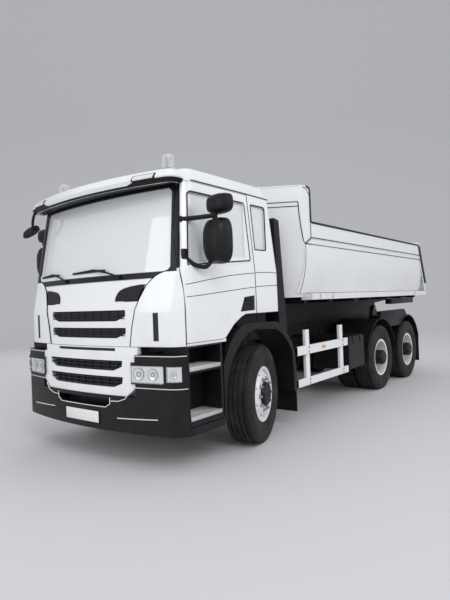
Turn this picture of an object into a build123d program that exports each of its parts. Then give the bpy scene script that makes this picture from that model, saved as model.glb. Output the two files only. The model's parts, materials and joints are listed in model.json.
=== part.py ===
from build123d import *
import os
from math import asin, cos, hypot, pi, radians, sin

# Three-axle tipper truck with a day cab and a half-pipe tipping body.
# Millimetres. +X forward, +Y to the truck's left, +Z up; the origin is on
# the ground, under the middle of the truck's length.

os.makedirs("parts", exist_ok=True)

# ---------------------------------------------------------------- sizes
FRONT_REACH = 1430       # front axle to the bumper's face
REAR_REACH = 6190        # front axle to the tailgate's rear face
FRONT_AXLE = (REAR_REACH - FRONT_REACH) / 2
WHEELBASE = 3608         # front axle to the first rear axle
BOGIE_SPREAD = 1358      # between the two rear axles
REAR_AXLES = (FRONT_AXLE - WHEELBASE, FRONT_AXLE - WHEELBASE - BOGIE_SPREAD)

# wheels
WHEEL_R = 522            # over the tread
AXLE_Z = WHEEL_R         # wheel centre
TYRE_W = 312             # section width
TREAD_W = 232            # flat of the tread
SHOULDER = 24            # tread edge to sidewall, radially
BEAD_R = 291             # tyre bore on the rim
BEAD_W = 236             # over the beads
RIM_T = 26               # rim barrel
LIP = 8                  # rim flange thickness
LIP_H = 16               # rim flange height over the bead
FRONT_LIP_Y = 1208       # outer rim flange, wheels straight
REAR_LIP_Y = 1196
TWIN_PITCH = 340         # between a twin's tyre centres
KINGPIN_Y = 1020
STEER_LEFT = 15.0        # how far the parked wheels point to the left
STEER_RATIO = 0.9        # right wheel's share of the left one's angle
HUB_R = 140
DRUM_R = 205
DRUM_T = 14
STUB_R = 38
RUN_FIT = 0.08            # radial running clearance on pins and stubs

# chassis
RAIL_Y = 430             # outer face of a frame rail
RAIL_W = 80              # flange
RAIL_T = 10
RAIL_Z0, RAIL_Z1 = 760, 1030
FRAME_FRONT = FRONT_AXLE + 1180
FRAME_REAR = FRONT_AXLE - 5480
SUB_Z1 = 1150            # top of the tipper subframe
SUB_FRONT = FRONT_AXLE - 760
SPRING_Y = 385           # leaf spring centre line
SPRING_W = 75


# rear plate for a towing coupling: thickness, middle of the holes, spacing, hole
TOW_T, TOW_Z = 14, 895
TOW_SPACE_Y, TOW_SPACE_Z, TOW_R = 160, 100, 10.5

# cab
CAB_FRONT = FRONT_AXLE + 1372
CAB_BACK = FRONT_AXLE - 458
CAB_HALF = 1212
CAB_LOW = 1151           # lower edge of the front panel
CAB_BELT = 1851          # windscreen base
CAB_EAVE = 2690          # drip rail
CAB_ROOF = 2826
FLOOR_REAR = 1408        # underside of the cab over the wheels
DOOR_LOW = 1180
CAB_WALL = 60
SKIN = 30                # front and corner panels
SKIN_GAP = 2             # behind them
GLASS_T = 6
REACH = CAB_HALF + 100      # past the cab's side

# doors
DOOR_FRONT = FRONT_AXLE + 1150
DOOR_FRONT_TOP = FRONT_AXLE + 1052
DOOR_REAR = FRONT_AXLE + 42
DOOR_GAP = 6
HINGE_PINS = (1255, 1500)   # heights of a door's hinge pins
DOOR_AXIS_X, DOOR_AXIS_Y = DOOR_FRONT - 30, CAB_HALF - 22
PIN_R, PIN_H = 4, 80
ARM_H, ARM_T, ARM_IN = 24, 6, 60    # arm of a door's hinge: height, thickness, depth inwards

# bumper
BUMPER_FRONT = FRONT_AXLE + FRONT_REACH
BUMPER_HALF = 1242
BUMPER_Z0, BUMPER_Z1 = 350, 1082
BUMPER_T = 60
CORNER_R = 180
STEP_FRONT, STEP_REAR = FRONT_AXLE + 1185, FRONT_AXLE + 690
STEP_Z0, STEP_Z1 = 425, 1145

# tipping body
BED_HALF = 1250
BED_REACH = BED_HALF + 100   # past the body's side
BED_FRONT = FRONT_AXLE - 560
POST_FRONT, POST_REAR = FRONT_AXLE - 1000, FRONT_AXLE - 1190
BED_NOSE_HALF = 520      # flat middle of the front wall
BED_FLOOR = 1600         # top of the floor
BED_RAIL_Z0 = 1523       # underside of the outer bottom rail
BED_CURVE_Z = 2120       # where the side stops curving in
BED_CURVE_R = 1237
RIM_Z0, RIM_Z1 = 2310, 2498
BED_WALL_TOP = 2943      # front wall
BED_T = 40
GATE_TOP_X, GATE_LOW_X = FRONT_AXLE - 5672, FRONT_AXLE - 6112
GATE_T = 56
GATE_GAP = 6
HINGE_X = FRONT_AXLE - 5300
HINGE_Z = 1300
HINGE_PIN_R = 28
BEAM_Y = 400             # underframe beams, centre
BEAM_W = 70

GATE_HALF = BED_HALF - 14
GATE_LUG_Y = BED_HALF - 50   # inner face of the body's lug

# tipping ram
RAM_X, RAM_Z = FRONT_AXLE - 2905, 985      # trunnion
RAM_EYE_X, RAM_EYE_Z = FRONT_AXLE - 2960, 1395
RAM_R = (92, 78, 64, 50)                   # barrel and stages
RAM_LOW = 315                              # barrel below its trunnion
SIDES = (("left", 1), ("right", -1))


# ---------------------------------------------------------------- helpers
def block(x0, x1, y0, y1, z0, z1, mode=Mode.ADD):
    with Locations(((x0 + x1) / 2, (y0 + y1) / 2, (z0 + z1) / 2)):
        Box(abs(x1 - x0), abs(y1 - y0), abs(z1 - z0), mode=mode)


def prism(plane, points, amount, mode=Mode.ADD):
    """An outline on a plane, extruded along the plane's normal."""
    with BuildSketch(plane) as outline:
        with BuildLine():
            Polyline(*points, close=True)
        make_face()
    extrude(outline.sketch, amount=amount, mode=mode)


def side_prism(points, y0, y1, mode=Mode.ADD):
    """An outline in (x, z), extruded from y0 to y1."""
    prism(Plane.XZ.offset(-y0), points, y0 - y1, mode)


def cross_prism(points, x0, x1, mode=Mode.ADD):
    """An outline in (y, z), extruded from x0 to x1."""
    prism(Plane.YZ.offset(x0), points, x1 - x0, mode)


def plan_prism(points, z0, z1, mode=Mode.ADD):
    """An outline in (x, y), extruded from z0 to z1."""
    prism(Plane.XY.offset(z0), points, z1 - z0, mode)


def rod(start, end, radius, mode=Mode.ADD):
    """A round bar between two points."""
    a, b = Vector(*start), Vector(*end)
    with BuildSketch(Plane(origin=a, z_dir=b - a)) as outline:
        Circle(radius)
    extrude(outline.sketch, amount=(b - a).length, mode=mode)


def bar(start, end, width, mode=Mode.ADD):
    """A square bar between two points."""
    a, b = Vector(*start), Vector(*end)
    with BuildSketch(Plane(origin=a, z_dir=b - a)) as outline:
        Rectangle(width, width)
    extrude(outline.sketch, amount=(b - a).length, mode=mode)


def faceted(points, centre, axis, sides, mode=Mode.ADD):
    """A closed outline in (along the axis, radius), taken round the axis in flat facets."""
    axis, centre = Vector(*axis).normalized(), Vector(*centre)
    up = Vector(0, 0, 1) if abs(axis.Z) < 0.8 else Vector(1, 0, 0)
    up = (up - axis * axis.dot(up)).normalized()
    other = axis.cross(up)
    rings = []
    for k in range(sides):
        a = 2 * pi * (k + 0.5) / sides
        d = (up * cos(a) + other * sin(a)) * (1 / cos(pi / sides))
        rings.append([centre + axis * w + d * r for w, r in points])
    faces = []
    for here, there in zip(rings, rings[1:] + rings[:1]):
        for i in range(len(points)):
            j = (i + 1) % len(points)
            corners = [here[i], here[j], there[j], there[i]]
            corners = [c for n, c in enumerate(corners) if (c - corners[n - 1]).length > 1e-6]
            if len(corners) > 2:
                faces.append(Face(Wire.make_polygon(corners, close=True)))
    add(Solid(Shell(faces)), mode=mode)


def mirrored_points(points):
    """Both halves of an outline given for +y, bottom to top."""
    return points + [(-y, z) for y, z in reversed(points)]


def save(maker, name):
    maker.part.label = name
    export_step(maker.part, f"parts/{name}.step")


# ---------------------------------------------------------------- cab body
# height, front, back, half width, how far the front bows, front corner radius
CAB_SECTIONS = (
    (CAB_LOW, CAB_FRONT, CAB_BACK, CAB_HALF, 150, 180),
    (1500, CAB_FRONT, CAB_BACK, CAB_HALF, 150, 180),
    (CAB_BELT, CAB_FRONT - 78, CAB_BACK, CAB_HALF - 4, 150, 140),
    (CAB_EAVE, CAB_FRONT - 230, CAB_BACK + 28, CAB_HALF - 84, 115, 110),
    (CAB_ROOF, CAB_FRONT - 320, CAB_BACK + 80, CAB_HALF - 130, 110, 100),
)
BACK_R = 80              # rear corners


def bowed_plan(z, front, back, half, bow, radius, back_r=0):
    """A plan outline with a bowed front and rounded corners."""
    with BuildSketch(Plane.XY.offset(z)) as plan:
        with BuildLine():
            Polyline((front - bow, half), (back, half), (back, -half), (front - bow, -half))
            ThreePointArc((front - bow, -half), (front, 0), (front - bow, half))
        make_face()
        fillet(plan.vertices().group_by(Axis.X)[-1], radius)
        if back_r:
            fillet(plan.vertices().group_by(Axis.X)[0], back_r)
    return plan.sketch


def cab_face_x(y, z):
    """Where the cab's front face stands at a width and a height."""
    for low, high in zip(CAB_SECTIONS, CAB_SECTIONS[1:]):
        if z <= high[0] or high is CAB_SECTIONS[-1]:
            t = (z - low[0]) / (high[0] - low[0])
            front, half, bow = (low[i] + t * (high[i] - low[i]) for i in (1, 3, 4))
            r = (half * half + bow * bow) / (2 * bow)
            return front - r + (r * r - y * y) ** 0.5


def cab_body(inset, z0=None, z1=None):
    """The cab's outer form, drawn in by an inset."""
    last = len(CAB_SECTIONS) - 1
    plans = []
    for i, (z, front, back, half, bow, radius) in enumerate(CAB_SECTIONS):
        z = z0 if i == 0 and z0 is not None else z1 if i == last and z1 is not None else z
        plans.append(bowed_plan(z, front - inset, back + inset, half - inset, bow,
                                radius - inset, BACK_R - inset))
    with BuildPart() as body:
        loft(plans, ruled=True)
    return body.part


cab_outer = cab_body(0)
cab_behind_skin = cab_body(SKIN)
cab_gap = cab_body(SKIN + SKIN_GAP)
cab_inner = cab_body(CAB_WALL, CAB_LOW + CAB_WALL, CAB_ROOF - CAB_WALL)

# lower edge of door and cab over the wheel, front to back
SILL_LINE = (
    (FRONT_AXLE + 593, DOOR_LOW + 12), (FRONT_AXLE + 453, 1310),
    (FRONT_AXLE + 324, 1380), (FRONT_AXLE + 240, FLOOR_REAR),
)


def under_sill(lift):
    """The room under the cab floor over the wheels, as an outline in (x, z)."""
    return [(FRONT_AXLE + 593, 1000)] + [(x, z + lift) for x, z in SILL_LINE] + [
        (CAB_BACK - 200, FLOOR_REAR + lift), (CAB_BACK - 200, 1000)]


def door_outline(gap):
    """The door's outer edge in (x, z), grown by a gap."""
    g = gap
    return [
        (DOOR_FRONT + g, DOOR_LOW - g), (DOOR_FRONT + g, CAB_BELT),
        (DOOR_FRONT_TOP + g, CAB_EAVE - 40 + g), (DOOR_FRONT_TOP - 40 + g, CAB_EAVE - 5 + g),
        (DOOR_REAR - g, CAB_EAVE - 5 + g),
        (DOOR_REAR - g, FLOOR_REAR - g), (FRONT_AXLE + 240, FLOOR_REAR - g),
        (FRONT_AXLE + 324, 1380 - g), (FRONT_AXLE + 453 - g, 1310 - g),
        (FRONT_AXLE + 593 - g, DOOR_LOW + 12 - g), (FRONT_AXLE + 640, DOOR_LOW - g),
    ]


DOOR_WINDOW = [
    (DOOR_FRONT - 60, 1892), (DOOR_FRONT_TOP - 52, 2570), (DOOR_FRONT_TOP - 85, 2592),
    (DOOR_REAR + 95, 2592), (DOOR_REAR + 76, 2570),
    (DOOR_REAR + 150, 2003), (DOOR_FRONT - 440, 1962),
]
REAR_WINDOW = [
    (DOOR_REAR - 50, 2095), (DOOR_REAR - 60, 2592), (CAB_BACK + 185, 2592),
    (CAB_BACK + 165, 2565), (CAB_BACK + 230, 2095),
]
WINDSCREEN = mirrored_points([(1010, CAB_BELT + 25), (1050, CAB_BELT + 70),
                              (1010, 2600), (970, 2640)])


def door_zone(s, gap):
    """All that the door takes from the cab's wall, grown by a gap."""
    with BuildPart() as zone:
        side_prism(door_outline(gap), s * 900, s * REACH)
        cross_prism([(s * (1090 - gap), 1000), (s * (1045 - gap), CAB_ROOF), (s * REACH, CAB_ROOF),
                     (s * REACH, 1000)], 0, CAB_FRONT, mode=Mode.INTERSECT)
    return zone.part


def grown(points, d):
    """An outline moved outwards by d, about its middle."""
    mx = sum(p[0] for p in points) / len(points)
    mz = sum(p[1] for p in points) / len(points)
    return [(x + (d if x > mx else -d), z + (d if z > mz else -d)) for x, z in points]


SEAM = ((720, CAB_LOW), (752, 1400), (830, 1600), (960, 1782))   # front panel edge
PANEL_TOP = 1782


def skin_zone(mode):
    """The front of the cab below the windscreen, which separate panels cover."""
    block(DOOR_FRONT + DOOR_GAP, CAB_FRONT + 50, -REACH, REACH, CAB_LOW - 50, PANEL_TOP, mode=mode)


with BuildPart() as raised_floor:      # the cab's floor over the wheels
    side_prism(under_sill(CAB_WALL), -CAB_HALF + 40, CAB_HALF - 40)
    add(cab_body(CAB_WALL - 5), mode=Mode.INTERSECT)

with BuildPart() as skin_room:
    skin_zone(Mode.ADD)
    add(cab_gap, mode=Mode.SUBTRACT)

with BuildPart() as cab_shell:
    add(cab_outer)
    add(cab_inner, mode=Mode.SUBTRACT)
    add(raised_floor.part)
    side_prism(under_sill(0), -REACH, REACH, mode=Mode.SUBTRACT)
    add(skin_room.part, mode=Mode.SUBTRACT)
    for side, s in SIDES:
        add(door_zone(s, DOOR_GAP), mode=Mode.SUBTRACT)
        side_prism(REAR_WINDOW, s * 900, s * REACH, mode=Mode.SUBTRACT)
        # door's hinges: an angled arm from the pillar carries each pin
        for z in HINGE_PINS:
            with Locations((DOOR_AXIS_X, s * DOOR_AXIS_Y, z)):
                Cylinder(PIN_R, PIN_H)
            z0, z1 = z - ARM_H / 2, z + ARM_H / 2
            block(DOOR_AXIS_X - ARM_T / 2, DOOR_AXIS_X + ARM_T / 2,
                  s * (DOOR_AXIS_Y - ARM_IN), s * DOOR_AXIS_Y, z0, z1)
            block(DOOR_AXIS_X - ARM_T / 2, DOOR_FRONT + DOOR_GAP + 20,
                  s * (DOOR_AXIS_Y - ARM_IN), s * (DOOR_AXIS_Y - ARM_IN + ARM_T), z0, z1)
    cross_prism(WINDSCREEN, FRONT_AXLE + 950, CAB_FRONT + 50, mode=Mode.SUBTRACT)
save(cab_shell, "cab_shell")

# front panel: slots in two rows and an air intake at each upper corner
SLOT_ROWS = ((1393, 1498), (1230, 1329))
SLOT_HALF = 590
INTAKE = ((560, 1575), (590, 1650), (730, 1700), (925, 1722), (830, 1575))

with BuildPart() as front_panel:
    add(cab_outer)
    add(cab_behind_skin, mode=Mode.SUBTRACT)
    skin_zone(Mode.INTERSECT)
    cross_prism(mirrored_points([(y - 1, z) for y, z in SEAM]),
                FRONT_AXLE + 900, CAB_FRONT + 50, mode=Mode.INTERSECT)
    for z0, z1 in SLOT_ROWS:
        cross_prism(mirrored_points([(SLOT_HALF - 120, z0), (SLOT_HALF, z0 + 45), (SLOT_HALF, z1)]),
                    FRONT_AXLE + 900, CAB_FRONT + 50, mode=Mode.SUBTRACT)
    for side, s in SIDES:
        cross_prism([(s * y, z) for y, z in INTAKE], FRONT_AXLE + 900, CAB_FRONT + 50,
                    mode=Mode.SUBTRACT)
save(front_panel, "front_panel")

with BuildPart() as corner_panels:
    add(cab_outer)
    add(cab_behind_skin, mode=Mode.SUBTRACT)
    skin_zone(Mode.INTERSECT)
    cross_prism(mirrored_points([(y + 1, z) for y, z in SEAM] + [(962, PANEL_TOP + 20)]),
                FRONT_AXLE + 900, CAB_FRONT + 50, mode=Mode.SUBTRACT)
    for side, s in SIDES:      # air slot over the headlamp
        block(FRONT_AXLE + 900, CAB_FRONT + 50, s * 985, s * 1035, 1195, 1440, mode=Mode.SUBTRACT)
save(corner_panels, "corner_panels")

# glass: panes let into the openings
with BuildPart() as panes:
    cross_prism(grown(WINDSCREEN, -0.3), FRONT_AXLE + 950, CAB_FRONT + 50)
    for side, s in SIDES:
        side_prism(grown(REAR_WINDOW, -0.3), s * 900, s * REACH)

with BuildPart() as cab_glass:
    add(cab_body(18))
    add(cab_body(18 + GLASS_T), mode=Mode.SUBTRACT)
    add(panes.part, mode=Mode.INTERSECT)
save(cab_glass, "cab_glass")

# doors
for side, s in SIDES:
    with BuildPart() as door:
        add(cab_outer)
        add(cab_inner, mode=Mode.SUBTRACT)
        add(door_zone(s, 0), mode=Mode.INTERSECT)
        side_prism(DOOR_WINDOW, s * 900, s * REACH, mode=Mode.SUBTRACT)
        # handle recess at the rear lower corner
        side_prism([(FRONT_AXLE + 252, 1582), (FRONT_AXLE + 60, 1598), (FRONT_AXLE + 60, 1440),
                    (FRONT_AXLE + 330, 1432)], s * (CAB_HALF - 14), s * REACH, mode=Mode.SUBTRACT)
        # bores for the hinge pins, with room for the arm that carries each
        for z in HINGE_PINS:
            with Locations((DOOR_AXIS_X, s * DOOR_AXIS_Y, z)):
                Cylinder(PIN_R + RUN_FIT, PIN_H + 4, mode=Mode.SUBTRACT)
            block(DOOR_AXIS_X - 9, DOOR_FRONT + 10, s * 1000, s * (DOOR_AXIS_Y + 3),
                  z - ARM_H / 2 - 5, z + ARM_H / 2 + 5, mode=Mode.SUBTRACT)
    save(door, f"door_{side}")
    with BuildPart() as pane:
        add(cab_body(24))
        add(cab_body(24 + GLASS_T), mode=Mode.SUBTRACT)
        side_prism(grown(DOOR_WINDOW, -0.3), s * 1030, s * REACH, mode=Mode.INTERSECT)
    save(pane, f"door_glass_{side}")

# sun visor over the windscreen
VISOR_Z0, VISOR_Z1 = 2655, 2775
VISOR_FRONT, VISOR_HALF = FRONT_AXLE + 1372, 1150


def visor_plan(z, inset):
    return bowed_plan(z, VISOR_FRONT - inset, FRONT_AXLE + 900, VISOR_HALF - inset, 150, 110 - inset)


with BuildPart() as sun_visor:
    loft([visor_plan(VISOR_Z0, 30), visor_plan(VISOR_Z1 - 70, 0), visor_plan(VISOR_Z1, 40)], ruled=True)
    loft([visor_plan(VISOR_Z0 - 5, 62), visor_plan(VISOR_Z1 - 38, 60)], ruled=True, mode=Mode.SUBTRACT)
    block(0, DOOR_FRONT_TOP + 30, -REACH, REACH, 2600, 2900, mode=Mode.SUBTRACT)
    for y in (-800, 0, 800):       # brackets on the roof's front edge
        block(FRONT_AXLE + 1015, FRONT_AXLE + 1200, y - 20, y + 20, VISOR_Z1 - 75, VISOR_Z1 - 35)
    add(cab_outer, mode=Mode.SUBTRACT)
save(sun_visor, "sun_visor")

# flashing beacons on the roof
BEACON_X, BEACON_Y = FRONT_AXLE + 950, 856
with BuildPart() as beacons:
    for side, s in SIDES:
        faceted([(0.3, 0), (0.3, 62), (24, 62), (24, 52), (140, 52), (168, 34), (174, 0)],
                (BEACON_X, s * BEACON_Y, CAB_ROOF), (0, 0, 1), 20)
save(beacons, "beacons")

# ---------------------------------------------------------------- bumper
def nose(inset, z0, z1, mode=Mode.ADD):
    """The bumper's bowed form from z0 to z1, drawn in by an inset."""
    plan = bowed_plan(z0, BUMPER_FRONT - inset, STEP_REAR - (1 if inset else 0), BUMPER_HALF - inset,
                      160, CORNER_R - inset)
    extrude(plan, amount=z1 - z0, mode=mode)


LAMP_Y0, LAMP_Y1 = 790, 1120
LAMP_Z0, LAMP_Z1 = 842, 1010
LAMP_GAP = 0.3
SIDE_LAMP_X0, SIDE_LAMP_X1 = FRONT_AXLE + 1196, FRONT_AXLE + 1250
GRILLE_HALF, GRILLE_Z0 = 735, 690
GRILLE_GAP = 3

with BuildPart() as bumper:
    nose(0, BUMPER_Z0, BUMPER_Z1)
    nose(BUMPER_T, BUMPER_Z0 - 10, BUMPER_Z1 + 10, mode=Mode.SUBTRACT)
    # beside the steps only a low apron is left
    block(STEP_REAR - 20, STEP_FRONT + GRILLE_GAP, -REACH, REACH, STEP_Z0 - GRILLE_GAP, 1200,
          mode=Mode.SUBTRACT)
    # opening for the lower grille
    block(FRONT_AXLE + 1000, BUMPER_FRONT + 10, -GRILLE_HALF - GRILLE_GAP, GRILLE_HALF + GRILLE_GAP,
          GRILLE_Z0 - GRILLE_GAP, 1200, mode=Mode.SUBTRACT)
    # towing slot under the grille
    cross_prism(mirrored_points([(350, 575), (410, 610), (410, 655), (370, 655)]),
                FRONT_AXLE + 1000, BUMPER_FRONT + 10, mode=Mode.SUBTRACT)
    for side, s in SIDES:
        block(FRONT_AXLE + 1100, BUMPER_FRONT + 10, s * (LAMP_Y0 - LAMP_GAP),
              s * (LAMP_Y1 + LAMP_GAP), LAMP_Z0 - LAMP_GAP, LAMP_Z1 + LAMP_GAP,
              mode=Mode.SUBTRACT)
save(bumper, "bumper")

with BuildPart() as headlamps:
    nose(6, LAMP_Z0, LAMP_Z1)
    nose(120, LAMP_Z0 - 10, LAMP_Z1 + 10, mode=Mode.SUBTRACT)
    with BuildSketch(Plane.YZ.offset(STEP_FRONT + 5)):
        with Locations(((LAMP_Y0 + LAMP_Y1) / 2, (LAMP_Z0 + LAMP_Z1) / 2),
                       (-(LAMP_Y0 + LAMP_Y1) / 2, (LAMP_Z0 + LAMP_Z1) / 2)):
            Rectangle(LAMP_Y1 - LAMP_Y0, LAMP_Z1 - LAMP_Z0)
    extrude(amount=500, mode=Mode.INTERSECT)
save(headlamps, "headlamps")

LOWER_SLOTS = ((925, 1022), (768, 868))
STEP_SLOT = (1108, 1136)
GRILLE_IN = 12           # behind the bumper's face
with BuildPart() as lower_grille:
    nose(GRILLE_IN, GRILLE_Z0, BUMPER_Z1)
    nose(GRILLE_IN + 30, BUMPER_Z1, CAB_LOW - GRILLE_GAP)
    nose(GRILLE_IN + 70, GRILLE_Z0 - 10, CAB_LOW + 10, mode=Mode.SUBTRACT)
    cross_prism(mirrored_points([(GRILLE_HALF - 110, GRILLE_Z0), (GRILLE_HALF, GRILLE_Z0 + 90),
                                 (GRILLE_HALF, CAB_LOW)]),
                FRONT_AXLE + 1000, BUMPER_FRONT + 10, mode=Mode.INTERSECT)
    for z0, z1 in LOWER_SLOTS:
        cross_prism(mirrored_points([(SLOT_HALF - 130, z0), (SLOT_HALF - 20, z0 + 40),
                                     (SLOT_HALF - 10, z1)]),
                    FRONT_AXLE + 1000, BUMPER_FRONT, mode=Mode.SUBTRACT)
    block(FRONT_AXLE + 1000, BUMPER_FRONT, -460, 460, *STEP_SLOT, mode=Mode.SUBTRACT)
    for side, s in SIDES:      # stays to the frame's ends
        block(FRAME_FRONT + 0.3, BUMPER_FRONT - 115, s * 640, s * 700, 875, 925)
save(lower_grille, "lower_grille")

# entry steps under the doors
with BuildPart() as step_wells:
    for side, s in SIDES:
        block(STEP_REAR, STEP_FRONT, s * 940, s * (BUMPER_HALF - 8), STEP_Z0, STEP_Z1)
        for z0, z1 in ((510, 905), (957, STEP_Z1 - 8)):
            block(STEP_REAR + 35, STEP_FRONT - 12, s * 985, s * REACH, z0, z1, mode=Mode.SUBTRACT)
save(step_wells, "step_wells")

# ---------------------------------------------------------------- front mudguards
# lip outline over the wheel and liner outline under it, front to back
ARCH_LIP = ((684, 430), (676, 938), (621, 1023), (572, 1114), (462, 1221), (365, 1286), (285, 1312),
            (-325, 1295), (-494, 1200), (-656, 1021), (-709, 878), (-724, 662), (-724, 452))
ARCH_IN = ((650, 430), (640, 640), (606, 800), (523, 967), (392, 1116), (244, 1204),
           (108, 1238), (-301, 1213), (-431, 1154), (-560, 1040), (-640, 937), (-664, 671), (-664, 452))
ARCH_T = 12
ARCH_Y0, ARCH_Y1 = 872, 1238


def at_front_axle(points):
    return [(FRONT_AXLE + x, z) for x, z in points]


def pushed_out(points, d):
    """An arch outline moved away from the wheel's centre."""
    out = []
    for x, z in points:
        r = hypot(x, z - AXLE_Z)
        out.append((x * (1 + d / r), AXLE_Z + (z - AXLE_Z) * (1 + d / r)))
    return out


with BuildPart() as front_arches:
    for side, s in SIDES:
        side_prism(at_front_axle(ARCH_LIP + ARCH_IN[::-1]), s * (ARCH_Y1 - 45), s * ARCH_Y1)
        side_prism(at_front_axle(pushed_out(ARCH_IN, ARCH_T) + list(ARCH_IN[::-1])),
                   s * ARCH_Y0, s * (ARCH_Y1 - 40))
        # stay to the frame rail, and the mud flap
        block(FRONT_AXLE - 728, FRONT_AXLE - 664, s * (RAIL_Y + 0.3), s * (ARCH_Y0 + 5), 860, 900)
        block(FRONT_AXLE - 724, FRONT_AXLE - 706, s * ARCH_Y0, s * (ARCH_Y1 - 5), 200, 520)
        block(FRONT_AXLE - 724, FRONT_AXLE - 664, s * (ARCH_Y0 - 10), s * (ARCH_Y0 + 15), 640, 900)
save(front_arches, "front_arches")

# ---------------------------------------------------------------- chassis
CROSS_X = (1080, -1150, -1700, -2350, -3180, -4287, -5400)
with BuildPart() as chassis_frame:
    for side, s in SIDES:
        y = RAIL_Y
        cross_prism([(s * y, RAIL_Z0), (s * (y - RAIL_W), RAIL_Z0), (s * (y - RAIL_W), RAIL_Z0 + RAIL_T),
                     (s * (y - RAIL_T), RAIL_Z0 + RAIL_T), (s * (y - RAIL_T), RAIL_Z1 - RAIL_T),
                     (s * (y - RAIL_W), RAIL_Z1 - RAIL_T), (s * (y - RAIL_W), RAIL_Z1), (s * y, RAIL_Z1)],
                    FRAME_REAR, FRAME_FRONT)
    for x in CROSS_X:
        block(FRONT_AXLE + x - 40, FRONT_AXLE + x + 40, -RAIL_Y + RAIL_T, RAIL_Y - RAIL_T, 830, 960)
    # front beam that carries bumper, grille and steps
    block(FRAME_FRONT - 70, FRAME_FRONT, -920, 920, 860, 940)
    for side, s in SIDES:
        block(FRAME_FRONT - 70, BUMPER_FRONT - BUMPER_T - 0.3, s * 640, s * 720, 520, 660)
        block(FRAME_FRONT - 70, FRAME_FRONT, s * 640, s * 720, 520, 940)
        # outriggers to the step wells
        block(STEP_REAR + 60, STEP_REAR + 140, s * (RAIL_Y - 5), s * 939.7, 900, 960)
        # cab mounts, low in front and raised behind
        block(FRONT_AXLE + 1040, FRONT_AXLE + 1140, s * (RAIL_Y - RAIL_W), s * RAIL_Y, RAIL_Z1 - 5,
              CAB_LOW - 0.3)
        block(FRONT_AXLE - 440, FRONT_AXLE - 380, s * (RAIL_Y - RAIL_W), s * RAIL_Y, RAIL_Z1 - 5,
              FLOOR_REAR - 0.3)
    # rear plate, drilled for a towing coupling
    block(FRAME_REAR, FRAME_REAR + TOW_T, -RAIL_Y + RAIL_T, RAIL_Y - RAIL_T, RAIL_Z0 + 10, RAIL_Z1 - 10)
    with BuildSketch(Plane.YZ.offset(FRAME_REAR - 5)) as holes:
        with Locations((0, TOW_Z)):
            with GridLocations(TOW_SPACE_Y, TOW_SPACE_Z, 2, 2):
                Circle(TOW_R)
    extrude(holes.sketch, amount=TOW_T + 10, mode=Mode.SUBTRACT)
    add(bumper.part, mode=Mode.SUBTRACT)
save(chassis_frame, "chassis_frame")

with BuildPart() as tipper_subframe:
    for side, s in SIDES:
        block(FRAME_REAR, SUB_FRONT, s * (RAIL_Y - 70), s * RAIL_Y, RAIL_Z1, SUB_Z1)
    for x in (-800, -1900, -3400, -4500, -5440):
        block(FRONT_AXLE + x - 35, FRONT_AXLE + x + 35, -RAIL_Y + 70, RAIL_Y - 70,
              RAIL_Z1 + 10, SUB_Z1 - 10)
    for side, s in SIDES:
        # hinge ear outside the body's beam
        side_prism([(HINGE_X - 150, SUB_Z1), (HINGE_X + 150, SUB_Z1), (HINGE_X + 55, HINGE_Z + 50),
                    (HINGE_X - 55, HINGE_Z + 50)],
                   s * (BEAM_Y + BEAM_W / 2 + 6), s * (BEAM_Y + BEAM_W / 2 + 36))
        block(HINGE_X - 150, HINGE_X + 150, s * (RAIL_Y - 70), s * (BEAM_Y + BEAM_W / 2 + 36),
              SUB_Z1 - 40, SUB_Z1)
        with Locations(Location((HINGE_X, s * BEAM_Y, HINGE_Z), (90, 0, 0))):
            Cylinder(HINGE_PIN_R, BEAM_W + 40)
        # ram cradle: bearing plates inside the rails
        block(RAM_X - 90, RAM_X + 90, s * 200, s * 225, RAM_Z - 95, RAM_Z + 60)
        block(RAM_X - 90, RAM_X + 90, s * 200, s * (RAIL_Y - 60), SUB_Z1 - 60, SUB_Z1 - 40)
        block(RAM_X - 90, RAM_X + 90, s * 200, s * 225, RAM_Z + 50, SUB_Z1 - 40)
        with Locations(Location((RAM_X, s * 212.5, RAM_Z), (90, 0, 0))):
            Cylinder(30 + RUN_FIT, 60, mode=Mode.SUBTRACT)
save(tipper_subframe, "tipper_subframe")

# engine with its gearbox, one plain closed mass
with BuildPart() as engine_block:
    block(FRONT_AXLE - 250, FRONT_AXLE + 880, -300, 300, 620, 1140)
    with BuildSketch(Plane.YZ.offset(FRONT_AXLE - 1060)):
        with Locations((0, 800)):
            Circle(205)
    extrude(amount=820)
    for side, s in SIDES:       # mounts on the frame's webs
        for x in (0, 700):
            block(FRONT_AXLE + x - 50, FRONT_AXLE + x + 50, s * 290, s * (RAIL_Y - RAIL_T), 880, 930)
save(engine_block, "engine_block")

# rear axles: housing with a round middle and a tube to each wheel
DIFF_R = 205
AXLE_TUBE_R = 62
TWIN_IN_Y = REAR_LIP_Y - BEAD_W / 2 - LIP - TWIN_PITCH       # inner tyre's centre
with BuildPart() as rear_axles:
    for x in REAR_AXLES:
        rod((x, -TWIN_IN_Y + 60, AXLE_Z), (x, TWIN_IN_Y - 60, AXLE_Z), AXLE_TUBE_R)
        faceted([(-235, 0), (-235, 62), (-160, 150), (-60, DIFF_R), (60, DIFF_R), (160, 150), (235, 62),
                 (235, 0)], (x, 0, AXLE_Z), (0, 1, 0), 16)
        rod((x, 0, AXLE_Z + 20), (x + 300, 0, AXLE_Z + 45), 80)
        for side, s in SIDES:    # stub on which the hub runs, and the spring seat
            rod((x, s * (TWIN_IN_Y - 80), AXLE_Z), (x, s * (TWIN_IN_Y + 150), AXLE_Z), STUB_R + 12)
            block(x - 60, x + 60, s * (SPRING_Y - 40), s * (SPRING_Y + 40), AXLE_Z, AXLE_Z + 90)
    rod((REAR_AXLES[1], 0, AXLE_Z + 20), (REAR_AXLES[0], 0, AXLE_Z + 20), 42)
save(rear_axles, "rear_axles")

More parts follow.
